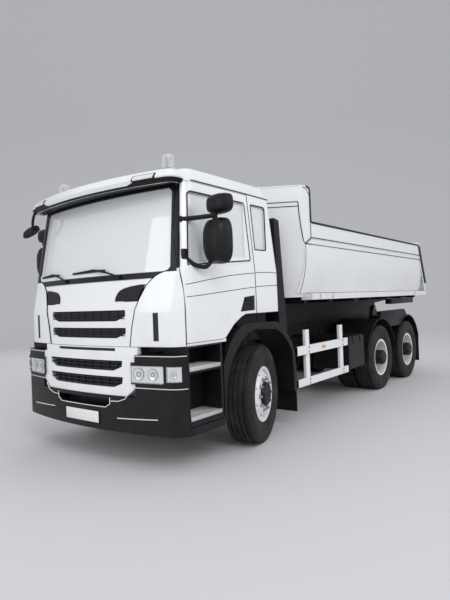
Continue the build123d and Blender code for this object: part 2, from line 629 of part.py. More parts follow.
with BuildPart() as propshaft:
    rod((REAR_AXLES[0] + 290, 0, AXLE_Z + 44), (FRONT_AXLE - 1050, 0, 761), 50)
    add(rear_axles.part, mode=Mode.SUBTRACT)
    add(engine_block.part, mode=Mode.SUBTRACT)
save(propshaft, "propshaft")

# front axle: dropped beam with a boss for each kingpin
with BuildPart() as front_axle:
    cross_prism([(-950, 470), (-780, 400), (780, 400), (950, 470), (950, 560), (800, 490),
                 (-800, 490), (-950, 560)], FRONT_AXLE - 50, FRONT_AXLE + 50)
    for side, s in SIDES:
        with Locations((FRONT_AXLE, s * KINGPIN_Y, AXLE_Z)):
            Cylinder(48, 130)
        block(FRONT_AXLE - 45, FRONT_AXLE + 45, s * 930, s * (KINGPIN_Y - 20), AXLE_Z - 50, AXLE_Z + 45)
        block(FRONT_AXLE - 60, FRONT_AXLE + 60, s * (SPRING_Y - 40), s * (SPRING_Y + 40), 480, 560)
        with Locations((FRONT_AXLE, s * KINGPIN_Y, AXLE_Z)):
            Cylinder(24 + RUN_FIT, 140, mode=Mode.SUBTRACT)
save(front_axle, "front_axle")

# leaf springs: centre x, half length, underside at the seat
with BuildPart() as leaf_springs:
    for cx, half, low in ((FRONT_AXLE, 780, 560), (REAR_AXLES[0], 600, AXLE_Z + 90),
                          (REAR_AXLES[1], 600, AXLE_Z + 90)):
        for side, s in SIDES:
            y0, y1 = s * (SPRING_Y - SPRING_W / 2), s * (SPRING_Y + SPRING_W / 2)
            side_prism([(cx - half, low + 100), (cx - half * 0.5, low + 20), (cx - 120, low),
                        (cx + 120, low), (cx + half * 0.5, low + 20), (cx + half, low + 100),
                        (cx + half, low + 122), (cx + half * 0.5, low + 62), (cx + 120, low + 60),
                        (cx - 120, low + 60), (cx - half * 0.5, low + 62), (cx - half, low + 122)],
                       y0, y1)
            for e in (-1, 1):      # hangers up to the rail's lower flange
                block(cx + e * (half - 30), cx + e * half, y0, y1, low + 95, RAIL_Z0)
save(leaf_springs, "leaf_springs")

# ---------------------------------------------------------------- between the axles
GUARD_X0, GUARD_X1 = FRONT_AXLE - 2262, FRONT_AXLE - 806
GUARD_Y = 1217
with BuildPart() as side_guards:
    for side, s in SIDES:
        for z0, z1 in ((461, 556), (847, 958)):
            block(GUARD_X0, GUARD_X1, s * (GUARD_Y - 28), s * GUARD_Y, z0, z1)
        for x in (-1100, -2095):
            block(FRONT_AXLE + x - 50, FRONT_AXLE + x + 50, s * (GUARD_Y - 60), s * (GUARD_Y - 24),
                  461, 1150)
            block(FRONT_AXLE + x - 30, FRONT_AXLE + x + 30, s * RAIL_Y, s * (GUARD_Y - 55), 960, 1010)
save(side_guards, "side_guards")

with BuildPart() as battery_box:
    block(FRONT_AXLE - 2870, FRONT_AXLE - 2310, 640, GUARD_Y - 6, 480, 960)
    fillet(battery_box.edges().filter_by(Axis.X), 25)
    block(FRONT_AXLE - 2780, FRONT_AXLE - 2720, RAIL_Y, 645, 780, 900)
    block(FRONT_AXLE - 2460, FRONT_AXLE - 2400, RAIL_Y, 645, 780, 900)
save(battery_box, "battery_box")

with BuildPart() as fuel_tank:
    block(FRONT_AXLE - 2100, FRONT_AXLE - 1000, -1120, -560, 480, 940)
    fillet(fuel_tank.edges().filter_by(Axis.X), 70)
    for x in (-1900, -1250):
        block(FRONT_AXLE + x - 30, FRONT_AXLE + x + 30, -565, -RAIL_Y, 780, 950)
save(fuel_tank, "fuel_tank")

MUD_R, MUD_T = 640, 8
MUD_Y0, MUD_Y1 = 560, 1226
MUD_CUT = 180            # guard's lower edge over the axle


def mud_arc(x, r, steps=14):
    """A guard's line over a wheel, in (x, z)."""
    low = asin(MUD_CUT / MUD_R)
    return [(x + r * cos(a), AXLE_Z + r * sin(a))
            for a in (low + (pi - 2 * low) * k / steps for k in range(steps + 1))]


with BuildPart() as rear_mudguards:
    for x in REAR_AXLES:
        for side, s in SIDES:
            side_prism(mud_arc(x, MUD_R) + mud_arc(x, MUD_R - MUD_T)[::-1], s * MUD_Y0, s * MUD_Y1)
            block(x - 20, x + 20, s * RAIL_Y, s * (MUD_Y0 + 4), AXLE_Z + 380, AXLE_Z + 420)
            block(x - 20, x + 20, s * (MUD_Y0 - 8), s * (MUD_Y0 + 2), AXLE_Z + 380, AXLE_Z + MUD_R - 2)
    flap_x = REAR_AXLES[1] - (MUD_R ** 2 - MUD_CUT ** 2) ** 0.5
    for side, s in SIDES:       # flap behind the last wheel
        block(flap_x, flap_x + 14, s * MUD_Y0, s * MUD_Y1, 240, AXLE_Z + MUD_CUT + 20)
save(rear_mudguards, "rear_mudguards")

UNDERRUN_X = FRONT_AXLE - 5680
with BuildPart() as underrun_bar:
    block(UNDERRUN_X - 45, UNDERRUN_X + 45, -1180, 1180, 450, 560)
    for side, s in SIDES:
        block(UNDERRUN_X - 40, FRAME_REAR + 160, s * (RAIL_Y + 0.0), s * (RAIL_Y + 20), 770, 880)
        block(UNDERRUN_X - 45, UNDERRUN_X + 45, s * (RAIL_Y + 0.0), s * (RAIL_Y + 20), 500, 880)
        block(UNDERRUN_X - 20, UNDERRUN_X + 20, s * 760, s * 1140, 555, 610)
save(underrun_bar, "underrun_bar")

with BuildPart() as tail_lamps:
    for side, s in SIDES:
        block(UNDERRUN_X - 75, UNDERRUN_X - 20, s * 760, s * 1140, 610, 740)
save(tail_lamps, "tail_lamps")

with BuildPart() as intake_stack:
    side_prism([(FRONT_AXLE - 700, 1160), (FRONT_AXLE - 520, 1160), (FRONT_AXLE - 480, 2500),
                (FRONT_AXLE - 590, 2480)], 960, 1150)
    block(FRONT_AXLE - 600, FRONT_AXLE - 540, RAIL_Y, 965, 1175, 1235)
    block(FRONT_AXLE - 600, FRONT_AXLE - 540, RAIL_Y, RAIL_Y + 20, 960, 1235)
save(intake_stack, "intake_stack")

# ---------------------------------------------------------------- cab interior and fittings
FLOOR_TOP = FLOOR_REAR + CAB_WALL
with BuildPart() as dashboard:
    side_prism([(FRONT_AXLE + 1230, 1500), (FRONT_AXLE + 1230, 1790), (FRONT_AXLE + 1040, 1830),
                (FRONT_AXLE + 820, 1740), (FRONT_AXLE + 900, 1560), (FRONT_AXLE + 1060, 1480)],
               -1000, 1000)
    add(cab_body(CAB_WALL + 1), mode=Mode.INTERSECT)
    block(FRONT_AXLE + 950, FRONT_AXLE + 1100, -250, 250, FLOOR_TOP + 0.3, 1560)
save(dashboard, "dashboard")

WHEEL_AXIS = (-0.5, 0, 0.866)
with BuildPart() as steering_wheel:
    faceted([(-12, 207), (0, 202), (12, 207), (14, 222), (0, 232), (-14, 222)],
            (FRONT_AXLE + 760, 560, 1860), WHEEL_AXIS, 24)
    faceted([(-170, 0), (-170, 40), (6, 48), (10, 0)], (FRONT_AXLE + 760, 560, 1860), WHEEL_AXIS, 12)
    with BuildSketch(Plane(origin=(FRONT_AXLE + 760, 560, 1860), x_dir=(0, 1, 0), z_dir=WHEEL_AXIS)):
        Rectangle(410, 36)
    extrude(amount=8)
    add(dashboard.part, mode=Mode.SUBTRACT)
save(steering_wheel, "steering_wheel")

with BuildPart() as seats:
    for side, s in SIDES:
        block(FRONT_AXLE - 50, FRONT_AXLE + 420, s * 560 - 240, s * 560 + 240, 1640, 1770)
        side_prism([(FRONT_AXLE - 60, 1760), (FRONT_AXLE + 60, 1760), (FRONT_AXLE - 60, 2440),
                    (FRONT_AXLE - 150, 2440)], s * 560 - 230, s * 560 + 230)
        block(FRONT_AXLE + 0, FRONT_AXLE + 340, s * 560 - 180, s * 560 + 180, FLOOR_TOP + 0.3, 1650)
save(seats, "seats")

WIPER_Z = 1862
WIPER_STAND = 26         # arm in front of the cab's face
with BuildPart() as wipers:
    for y in (-640, 470):      # spindle, arm, and blade along the glass
        base = (cab_face_x(y, WIPER_Z) + WIPER_STAND, y, WIPER_Z)
        elbow = (cab_face_x(y - 360, WIPER_Z + 36) + WIPER_STAND, y - 360, WIPER_Z + 36)
        tip = (cab_face_x(y - 20, WIPER_Z + 66) + WIPER_STAND, y - 20, WIPER_Z + 66)
        rod((base[0] - WIPER_STAND - 30, y, WIPER_Z), (base[0] + 8, y, WIPER_Z), 12)
        bar(base, elbow, 14)
        bar(elbow, tip, 12)
    add(cab_outer, mode=Mode.SUBTRACT)
save(wipers, "wipers")

with BuildPart() as front_view_mirror:
    rod((FRONT_AXLE + 1215, -(CAB_HALF - 172), 2690), (FRONT_AXLE + 1195, -(CAB_HALF - 22), 2430), 14)
    block(FRONT_AXLE + 1120, FRONT_AXLE + 1230, -(CAB_HALF + 118), -(CAB_HALF - 132), 2350, 2440)
    fillet(front_view_mirror.edges().filter_by(Axis.X), 14)
    add(sun_visor.part, mode=Mode.SUBTRACT)
save(front_view_mirror, "front_view_mirror")

for side, s in SIDES:
    with BuildPart() as mirror:
        block(FRONT_AXLE + 805, FRONT_AXLE + 930, s * 1255, s * 1500, 1902, 2318)
        block(FRONT_AXLE + 800, FRONT_AXLE + 915, s * 1265, s * 1520, 2375, 2530)
        fillet(mirror.edges().filter_by(Axis.X), 40)
        block(FRONT_AXLE + 850, FRONT_AXLE + 890, s * 1330, s * 1370, 2300, 2390)
        rod((FRONT_AXLE + 1062, s * 1085, 2322), (FRONT_AXLE + 880, s * 1350, 2345), 16)
        rod((FRONT_AXLE + 1095, s * 1150, 1865), (FRONT_AXLE + 900, s * 1290, 1880), 16)
        rod((FRONT_AXLE + 900, s * 1290, 1872), (FRONT_AXLE + 890, s * 1300, 1920), 18)
        add(cab_outer, mode=Mode.SUBTRACT)
    save(mirror, f"mirror_{side}")

# ---------------------------------------------------------------- tipping body
CURVE_CY = BED_HALF - BED_CURVE_R       # centre of the side's curve


def curve_y(z, inset=0):
    """Half width of the body at a height."""
    if z >= BED_CURVE_Z:
        return BED_HALF - inset
    r = BED_CURVE_R - inset
    return CURVE_CY + (r * r - (BED_CURVE_Z - z) ** 2) ** 0.5


CURVE_Z = (BED_FLOOR - BED_T, 1690, 1820, 1960, BED_CURVE_Z)


def body_outline(inset, bottom, top):
    """The body's cross outline in (y, z), both sides."""
    levels = [bottom] + [z for z in CURVE_Z if z > bottom]
    right = [(curve_y(z, inset), z) for z in levels] + [(BED_HALF - inset, top)]
    return mirrored_points(right)


GATE_SLOPE = (GATE_LOW_X - GATE_TOP_X) / (RIM_Z1 - (BED_FLOOR - BED_T))


def gate_x(z):
    """Rear edge of the side walls at a height."""
    return GATE_TOP_X + GATE_SLOPE * (RIM_Z1 - z)


SIDE_LOW = BED_FLOOR - BED_T
with BuildPart() as bed_sides:
    cross_prism(body_outline(0, SIDE_LOW, RIM_Z1), GATE_LOW_X - 100, POST_REAR - 1)
    cross_prism(body_outline(BED_T, SIDE_LOW - 10, RIM_Z1 + 10), GATE_LOW_X - 110, POST_REAR + 10,
                mode=Mode.SUBTRACT)
    for side, s in SIDES:
        block(GATE_LOW_X - 100, POST_REAR - 1, s * (BED_HALF - BED_T), s * (BED_HALF + 14), RIM_Z0, RIM_Z1)
        block(GATE_LOW_X - 100, POST_REAR - 1, s * (BED_HALF - 10), s * (BED_HALF + 8), 2215, 2235)
        # outer bottom rail
        block(GATE_LOW_X - 100, POST_REAR - 1, s * (curve_y(SIDE_LOW) - BED_T + 4), s * (BED_HALF - 8),
              BED_RAIL_Z0, BED_FLOOR + 5)
    side_prism([(gate_x(1400), 1400), (gate_x(2700), 2700), (GATE_LOW_X - 400, 2700),
                (GATE_LOW_X - 400, 1400)], -BED_REACH - 50, BED_REACH + 50, mode=Mode.SUBTRACT)
    for side, s in SIDES:      # gate lugs at the rim's rear end
        block(gate_x(RIM_Z1) - 80, gate_x(RIM_Z1) + 120, s * GATE_LUG_Y, s * BED_HALF, RIM_Z1, RIM_Z1 + 62)
        with Locations(Location((gate_x(RIM_Z1) - 45, s * (GATE_LUG_Y + 20), RIM_Z1 + 32), (90, 0, 0))):
            Cylinder(14 + RUN_FIT, 100, mode=Mode.SUBTRACT)
save(bed_sides, "bed_sides")

with BuildPart() as bed_floor:
    block(GATE_LOW_X - 100, POST_REAR - 1, -curve_y(SIDE_LOW) + BED_T + 0.3 - 4,
          curve_y(SIDE_LOW) - BED_T - 0.3 + 4, SIDE_LOW, BED_FLOOR)
    side_prism([(gate_x(1400), 1400), (gate_x(2700), 2700), (GATE_LOW_X - 400, 2700),
                (GATE_LOW_X - 400, 1400)], -BED_REACH, BED_REACH, mode=Mode.SUBTRACT)
    cross_prism(body_outline(BED_T + 0.3, SIDE_LOW - 1, RIM_Z1), GATE_LOW_X - 110, POST_REAR + 10,
                mode=Mode.INTERSECT)
save(bed_floor, "bed_floor")

# front wall: flat nose with angled corners that end in a post
def front_plan(inset):
    k = inset
    return [(POST_REAR, BED_HALF - k), (POST_FRONT - 0.55 * k, BED_HALF - k),
            (BED_FRONT - k, BED_NOSE_HALF - 0.5 * k), (BED_FRONT - k, -BED_NOSE_HALF + 0.5 * k),
            (POST_FRONT - 0.55 * k, -BED_HALF + k), (POST_REAR, -BED_HALF + k)]


with BuildPart() as bed_front:
    plan_prism(front_plan(0), SIDE_LOW, BED_WALL_TOP)
    inner = front_plan(BED_T)
    plan_prism([(POST_REAR - 10, inner[0][1])] + inner[1:5] + [(POST_REAR - 10, inner[5][1])],
               BED_FLOOR, BED_WALL_TOP + 10, mode=Mode.SUBTRACT)
    cross_prism(body_outline(0, SIDE_LOW, BED_WALL_TOP), POST_REAR - 10, BED_FRONT + 10,
                mode=Mode.INTERSECT)
save(bed_front, "bed_front")

# underframe: two long beams, cross bearers, hinge eyes and the ram's clevis
BEARERS = (-660, -1300, -2050, -3500, -4300, -5100, -5900)
BEARER_HALF = curve_y(SIDE_LOW) - BED_T + 4 - 0.3
with BuildPart() as bed_underframe:
    for side, s in SIDES:
        side_prism([(FRONT_AXLE - 640, SUB_Z1 + 6), (HINGE_X + 130, SUB_Z1 + 6),
                    (HINGE_X + 60, HINGE_Z - 60), (HINGE_X - 60, HINGE_Z - 60),
                    (HINGE_X - 110, 1400), (GATE_LOW_X + 90, 1440), (GATE_LOW_X + 90, 1480),
                    (FRONT_AXLE - 640, 1480)],
                   s * (BEAM_Y - BEAM_W / 2), s * (BEAM_Y + BEAM_W / 2))
        with Locations(Location((HINGE_X, s * BEAM_Y, HINGE_Z), (90, 0, 0))):
            Cylinder(HINGE_PIN_R + RUN_FIT, BEAM_W + 20, mode=Mode.SUBTRACT)
    for x in BEARERS:
        half = BEARER_HALF if FRONT_AXLE + x < POST_REAR else BED_NOSE_HALF
        block(FRONT_AXLE + x - 35, FRONT_AXLE + x + 35, -half, half, 1480, SIDE_LOW)
    for side, s in SIDES:       # clevis cheeks beside the ram's eye
        block(RAM_EYE_X - 80, RAM_EYE_X + 80, s * 102, s * 122, RAM_EYE_Z - 60, 1485)
    block(RAM_EYE_X - 100, RAM_EYE_X + 100, -BEARER_HALF, BEARER_HALF, 1480, SIDE_LOW)
save(bed_underframe, "bed_underframe")

# tailgate, hung from its top edge
GATE_PIN_Z = RIM_Z1 + 32
GATE_PIN_X = gate_x(RIM_Z1) - 45
with BuildPart() as tailgate:
    top, low = RIM_Z1 - 6, BED_FLOOR - 70
    side_prism([(gate_x(low) - GATE_GAP, low), (gate_x(top) - GATE_GAP, top),
                (gate_x(top) - GATE_GAP - GATE_T, top), (gate_x(low) - GATE_GAP - GATE_T, low)],
               -GATE_HALF, GATE_HALF)
    for side, s in SIDES:      # corner cut away under the body's lug, then the gate's own lug
        block(GATE_PIN_X - 60, GATE_PIN_X + 80, s * (GATE_LUG_Y - 6), s * BED_REACH, top - 45, top + 20,
              mode=Mode.SUBTRACT)
        block(GATE_PIN_X - 30, GATE_PIN_X + 25, s * (GATE_LUG_Y - 70), s * (GATE_LUG_Y - 10), top - 20,
              GATE_PIN_Z + 26)
        with Locations(Location((GATE_PIN_X, s * (GATE_LUG_Y - 10), GATE_PIN_Z), (90, 0, 0))):
            Cylinder(14, 100)
save(tailgate, "tailgate")

# ---------------------------------------------------------------- wheels
def wheel_frame(x, lip_y, s, steer):
    """Middle of a tyre and the axle's outward direction."""
    if not steer:
        return (x, s * (lip_y - BEAD_W / 2 - LIP), AXLE_Z), (0, s, 0)
    a = radians(steer)
    out = (-s * sin(a), s * cos(a), 0)
    d = lip_y - KINGPIN_Y - BEAD_W / 2 - LIP
    return (x + out[0] * d, s * KINGPIN_Y + out[1] * d, AXLE_Z), out


WHEEL_SIDES = 24         # facets round a wheel
TYRE = [(-BEAD_W / 2, BEAD_R), (-TYRE_W / 2, 405), (-TREAD_W / 2 - 22, WHEEL_R - SHOULDER),
        (-TREAD_W / 2, WHEEL_R), (TREAD_W / 2, WHEEL_R), (TREAD_W / 2 + 22, WHEEL_R - SHOULDER),
        (TYRE_W / 2, 405), (BEAD_W / 2, BEAD_R)]
B = BEAD_W / 2
RIM_HALF = B + LIP
RIM_FIT = 0.3            # tyre bead on the rim
BARREL_R = BEAD_R - RIM_T    # inside of a rim's barrel
LIP_TOP = BEAD_R + LIP_H
# a rim seen across: from one flange over the bead seats to the other
SEAT = [(RIM_HALF, BARREL_R), (RIM_HALF + 3, LIP_TOP), (B + 1, BEAD_R - RIM_FIT),
        (-B - 1, BEAD_R - RIM_FIT), (-RIM_HALF - 3, LIP_TOP), (-RIM_HALF, BARREL_R)]
# front wheel: disc dished outwards, nut ring, hub cap, and the brake drum inside
FACE_W, FACE_R = 138, 212    # nut ring
CAP_W, CAP_R = 182, 132      # hub cap
FRONT_RIM = SEAT + [
    (78, BARREL_R), (112, DRUM_R), (-60, DRUM_R), (-60, DRUM_R - DRUM_T), (72, DRUM_R - DRUM_T),
    (72, 0), (CAP_W, 0), (CAP_W, CAP_R - 14), (FACE_W, CAP_R), (FACE_W, FACE_R), (100, BARREL_R)]
# twin rear wheels: both discs meet on the hub, which stands in the deep outer face
HALF = TWIN_PITCH / 2
REAR_RIM = SEAT + [
    (-70, BARREL_R), (-HALF, HUB_R + 25), (-TWIN_PITCH + 70, BARREL_R)] + [
    (w - TWIN_PITCH, r) for w, r in SEAT] + [
    (-TWIN_PITCH + 56, BARREL_R), (-236, DRUM_R), (-TWIN_PITCH - 70, DRUM_R),
    (-TWIN_PITCH - 70, DRUM_R - DRUM_T), (-200, DRUM_R - DRUM_T), (-196, 98), (-TWIN_PITCH + 20, 98),
    (-TWIN_PITCH + 20, 0), (-6, 0), (-6, 92), (-156, 100), (-156, HUB_R + 25), (-56, BARREL_R)]


def hand_holes(centre, out, w, count=8):
    """Holes through a wheel's disc."""
    c = Vector(*centre) + Vector(*out) * w
    with BuildSketch(Plane(origin=c, x_dir=(0, 0, 1), z_dir=out)) as holes:
        with PolarLocations(238, count):
            RegularPolygon(21, 8)
    extrude(holes.sketch, amount=60, both=True, mode=Mode.SUBTRACT)


def bore(centre, out, w0, w1, radius):
    """A round hole along a wheel's axis."""
    c, o = Vector(*centre), Vector(*out)
    rod(tuple(c + o * w0), tuple(c + o * w1), radius, mode=Mode.SUBTRACT)


for side, s in SIDES:
    steer = STEER_LEFT if s > 0 else STEER_LEFT * STEER_RATIO
    centre, out = wheel_frame(FRONT_AXLE, FRONT_LIP_Y, s, steer)
    with BuildPart() as tyre:
        faceted(TYRE, centre, out, WHEEL_SIDES)
    save(tyre, f"front_tyre_{side}")
    with BuildPart() as rim:
        faceted(FRONT_RIM, centre, out, WHEEL_SIDES)
        bore(centre, out, 60, 122, STUB_R + RUN_FIT)
        hand_holes(centre, out, 110)
    save(rim, f"front_rim_{side}")
    # steering knuckle: fork round the kingpin, and the stub
    k = Vector(FRONT_AXLE, s * KINGPIN_Y, AXLE_Z)
    o = Vector(*out)
    with BuildPart() as knuckle:
        with Locations(k):
            Cylinder(24, 200)
        for z in (-88, 88):
            with Locations(k + Vector(0, 0, z)):
                Cylinder(46, 36)
        with BuildSketch(Plane(origin=k + o * 62, x_dir=(0, 0, 1), z_dir=out)) as web:
            Rectangle(212, 84)
        extrude(web.sketch, amount=22)
        for z in (-88, 88):
            with BuildSketch(Plane(origin=k + Vector(0, 0, z), x_dir=(0, 0, 1), z_dir=out)) as arm:
                Rectangle(36, 84)
            extrude(arm.sketch, amount=70)
        rod(tuple(k + o * 62), tuple(Vector(*centre) + o * 120), STUB_R)
        # steering arm towards the rear, over the beam
        a = k + Vector(0, 0, 88)
        back = Vector(-out[1] * s, out[0] * s, 0)
        bar(tuple(a), tuple(a + back * 190 - o * 40), 34)
    save(knuckle, f"knuckle_{side}")

for i, x in enumerate(REAR_AXLES, 1):
    for side, s in SIDES:
        centre, out = wheel_frame(x, REAR_LIP_Y, s, 0)
        with BuildPart() as tyres:
            faceted(TYRE, centre, out, WHEEL_SIDES)
            faceted([(w - TWIN_PITCH, r) for w, r in TYRE], centre, out, WHEEL_SIDES)
        save(tyres, f"rear_tyres_{i}_{side}")
        with BuildPart() as rims:
            faceted(REAR_RIM, centre, out, WHEEL_SIDES)
            bore(centre, out, -TWIN_PITCH, -40, STUB_R + 12 + RUN_FIT)
        save(rims, f"rear_rims_{i}_{side}")

# ---------------------------------------------------------------- tipping ram
ram_a = Vector(RAM_X, 0, RAM_Z)
ram_b = Vector(RAM_EYE_X, 0, RAM_EYE_Z)
along = (ram_b - ram_a).normalized()
TOP = (ram_b - ram_a).length - 62        # barrel top from the trunnion
with BuildPart() as ram_barrel:
    rod(tuple(ram_a - along * RAM_LOW), tuple(ram_a + along * TOP), RAM_R[0])
    rod(tuple(ram_a - along * (RAM_LOW - 20)), tuple(ram_a + along * (TOP + 1)), RAM_R[1] + RUN_FIT,
        mode=Mode.SUBTRACT)
    with Locations(Location(ram_a, (90, 0, 0))):
        Cylinder(30, 2 * 198 + 50)
    rod(tuple(ram_a - along * (RAM_LOW - 20)), tuple(ram_a + along * (TOP + 1)), RAM_R[1] + RUN_FIT,
        mode=Mode.SUBTRACT)
save(ram_barrel, "ram_barrel")
for n in (1, 2, 3):
    low = -(RAM_LOW - 20) + 8 * n
    with BuildPart() as stage:
        rod(tuple(ram_a + along * low), tuple(ram_a + along * (TOP + 6 * n if n < 3 else TOP + 40)), RAM_R[n])
        if n < 3:
            rod(tuple(ram_a + along * (low + 8 - 0.5)), tuple(ram_a + along * (TOP + 6 * n + 1)),
                RAM_R[n + 1] + RUN_FIT, mode=Mode.SUBTRACT)
        else:
            with Locations(Location(ram_b, (90, 0, 0))):
                Cylinder(38, 90)
    save(stage, f"ram_stage_{n}")
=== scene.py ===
import json
from math import asin, atan2, cos, pi, radians, sin, sqrt

import bmesh
import bpy
from mathutils import Matrix, Vector

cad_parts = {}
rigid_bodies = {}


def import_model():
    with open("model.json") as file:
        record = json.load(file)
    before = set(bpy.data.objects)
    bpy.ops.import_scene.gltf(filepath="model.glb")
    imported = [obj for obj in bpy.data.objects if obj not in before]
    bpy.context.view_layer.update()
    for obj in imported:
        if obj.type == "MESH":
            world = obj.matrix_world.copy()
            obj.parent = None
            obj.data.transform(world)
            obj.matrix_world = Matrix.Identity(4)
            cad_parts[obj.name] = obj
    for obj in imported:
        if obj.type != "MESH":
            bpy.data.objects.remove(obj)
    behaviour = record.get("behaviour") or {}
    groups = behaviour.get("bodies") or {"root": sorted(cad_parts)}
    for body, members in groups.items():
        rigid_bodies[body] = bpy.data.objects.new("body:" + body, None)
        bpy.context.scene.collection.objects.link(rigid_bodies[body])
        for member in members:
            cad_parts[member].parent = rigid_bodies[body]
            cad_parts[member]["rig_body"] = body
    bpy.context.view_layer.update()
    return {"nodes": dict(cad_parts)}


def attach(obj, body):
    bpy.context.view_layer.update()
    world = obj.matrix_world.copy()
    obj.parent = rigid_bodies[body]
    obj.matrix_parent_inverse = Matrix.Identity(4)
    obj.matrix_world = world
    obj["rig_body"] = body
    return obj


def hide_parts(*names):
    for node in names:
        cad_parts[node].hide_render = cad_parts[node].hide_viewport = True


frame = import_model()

# ------------------------------------------------ ground, light and camera
# The truck stands on a pale studio floor that sweeps up behind it. Three
# wide soft lamps and a pale sky light it.


class Shade:
    """A value in a finish's nodes; sums on it add Math nodes."""

    def __init__(self, finish, socket):
        self.finish, self.socket = finish, socket

    def sum(self, kind, *terms):
        return self.finish.node("Math", {"operation": kind}, *terms)

    def __add__(self, other):
        return self.sum("ADD", self, other)

    def __sub__(self, other):
        return self.sum("SUBTRACT", self, other)

    def __rsub__(self, other):
        return self.sum("SUBTRACT", other, self)

    def __mul__(self, other):
        return self.sum("MULTIPLY", self, other)

    __radd__, __rmul__ = __add__, __mul__

    def within(self, low, high):
        """0 at low, 1 at high, held outside."""
        return self.finish.node("MapRange", {"clamp": True}, self, low, high)


class Finish:
    """One paint, rubber, metal or cloth, built up from its nodes."""

    def __init__(self, name, colour, roughness, **settings):
        self.mat = bpy.data.materials.new(name)
        self.mat.use_nodes = True
        self.mat.diffuse_color = (*colour, 1)
        self.nodes, self.links = self.mat.node_tree.nodes, self.mat.node_tree.links
        self.nodes.clear()
        self.out = self.nodes.new("ShaderNodeOutputMaterial")
        self.surface = self.nodes.new("ShaderNodeBsdfPrincipled")
        self.links.new(self.surface.outputs[0], self.out.inputs[0])
        self.colour = colour
        self.feed(Base_Color=colour, Roughness=roughness, **settings)

    def plug(self, socket, value):
        if isinstance(value, Shade):
            self.links.new(value.socket, socket)
        elif isinstance(value, tuple) and socket.type == "RGBA":
            socket.default_value = (*value[:3], 1)
        else:
            socket.default_value = value

    def node(self, kind, settings, *values, out=0, **named):
        made = self.nodes.new("ShaderNode" + kind)
        for key, value in settings.items():
            setattr(made, key, value)
        for i, value in enumerate(values):
            if value is not None:
                self.plug(made.inputs[i], value)
        for key, value in named.items():
            self.plug(made.inputs[key.replace("_", " ")], value)
        return Shade(self, made.outputs[out])

    def feed(self, **sockets):
        for key, value in sockets.items():
            self.plug(self.surface.inputs[key.replace("_", " ")], value)

    def spot(self):
        """Where on the truck, in metres."""
        return self.node("TexCoord", {}, out=3)

    def place(self, stretch=(1, 1, 1)):
        return self.node("Mapping", {}, self.spot(), Scale=stretch)

    def height(self):
        return self.node("SeparateXYZ", {}, self.spot(), out=2)

    def noise(self, scale, detail=3, rough=0.55, where=None):
        return self.node("TexNoise", {}, where or self.spot(), Scale=scale, Detail=detail, Roughness=rough)

    def blend(self, amount, first, second):
        made = self.nodes.new("ShaderNodeMix")
        made.data_type = "RGBA"
        for i, value in ((0, amount), (6, first), (7, second)):
            self.plug(made.inputs[i], value)
        return Shade(self, made.outputs[2])

    def stained(self, amount, tint):
        """The finish's own colour, turned towards a tint."""
        return self.blend(amount, self.colour, tint)

    def bump(self, height, distance, strength=1.0):
        self.feed(Normal=self.node("Bump", {}, Strength=strength, Distance=distance, Height=height))
        return self

    def grain(self, scale, detail, distance, strength):
        """A fine even roughness in the surface."""
        return self.bump(self.noise(scale, detail), distance, strength)


UP = Vector((0, 0, 1))


def placed(name, data):
    """A new object in the scene."""
    made = bpy.data.objects.new(name, data)
    bpy.context.scene.collection.objects.link(made)
    return made


def crisp(mesh):
    """Smooth shading that breaks at sharp edges."""
    mesh.shade_smooth()
    mesh.set_sharp_from_angle(angle=radians(32))


def settle(made, body, nodes):
    """The piece rides on a body, and may stand for CAD nodes."""
    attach(made, body)
    if nodes:
        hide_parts(*nodes)
    return made


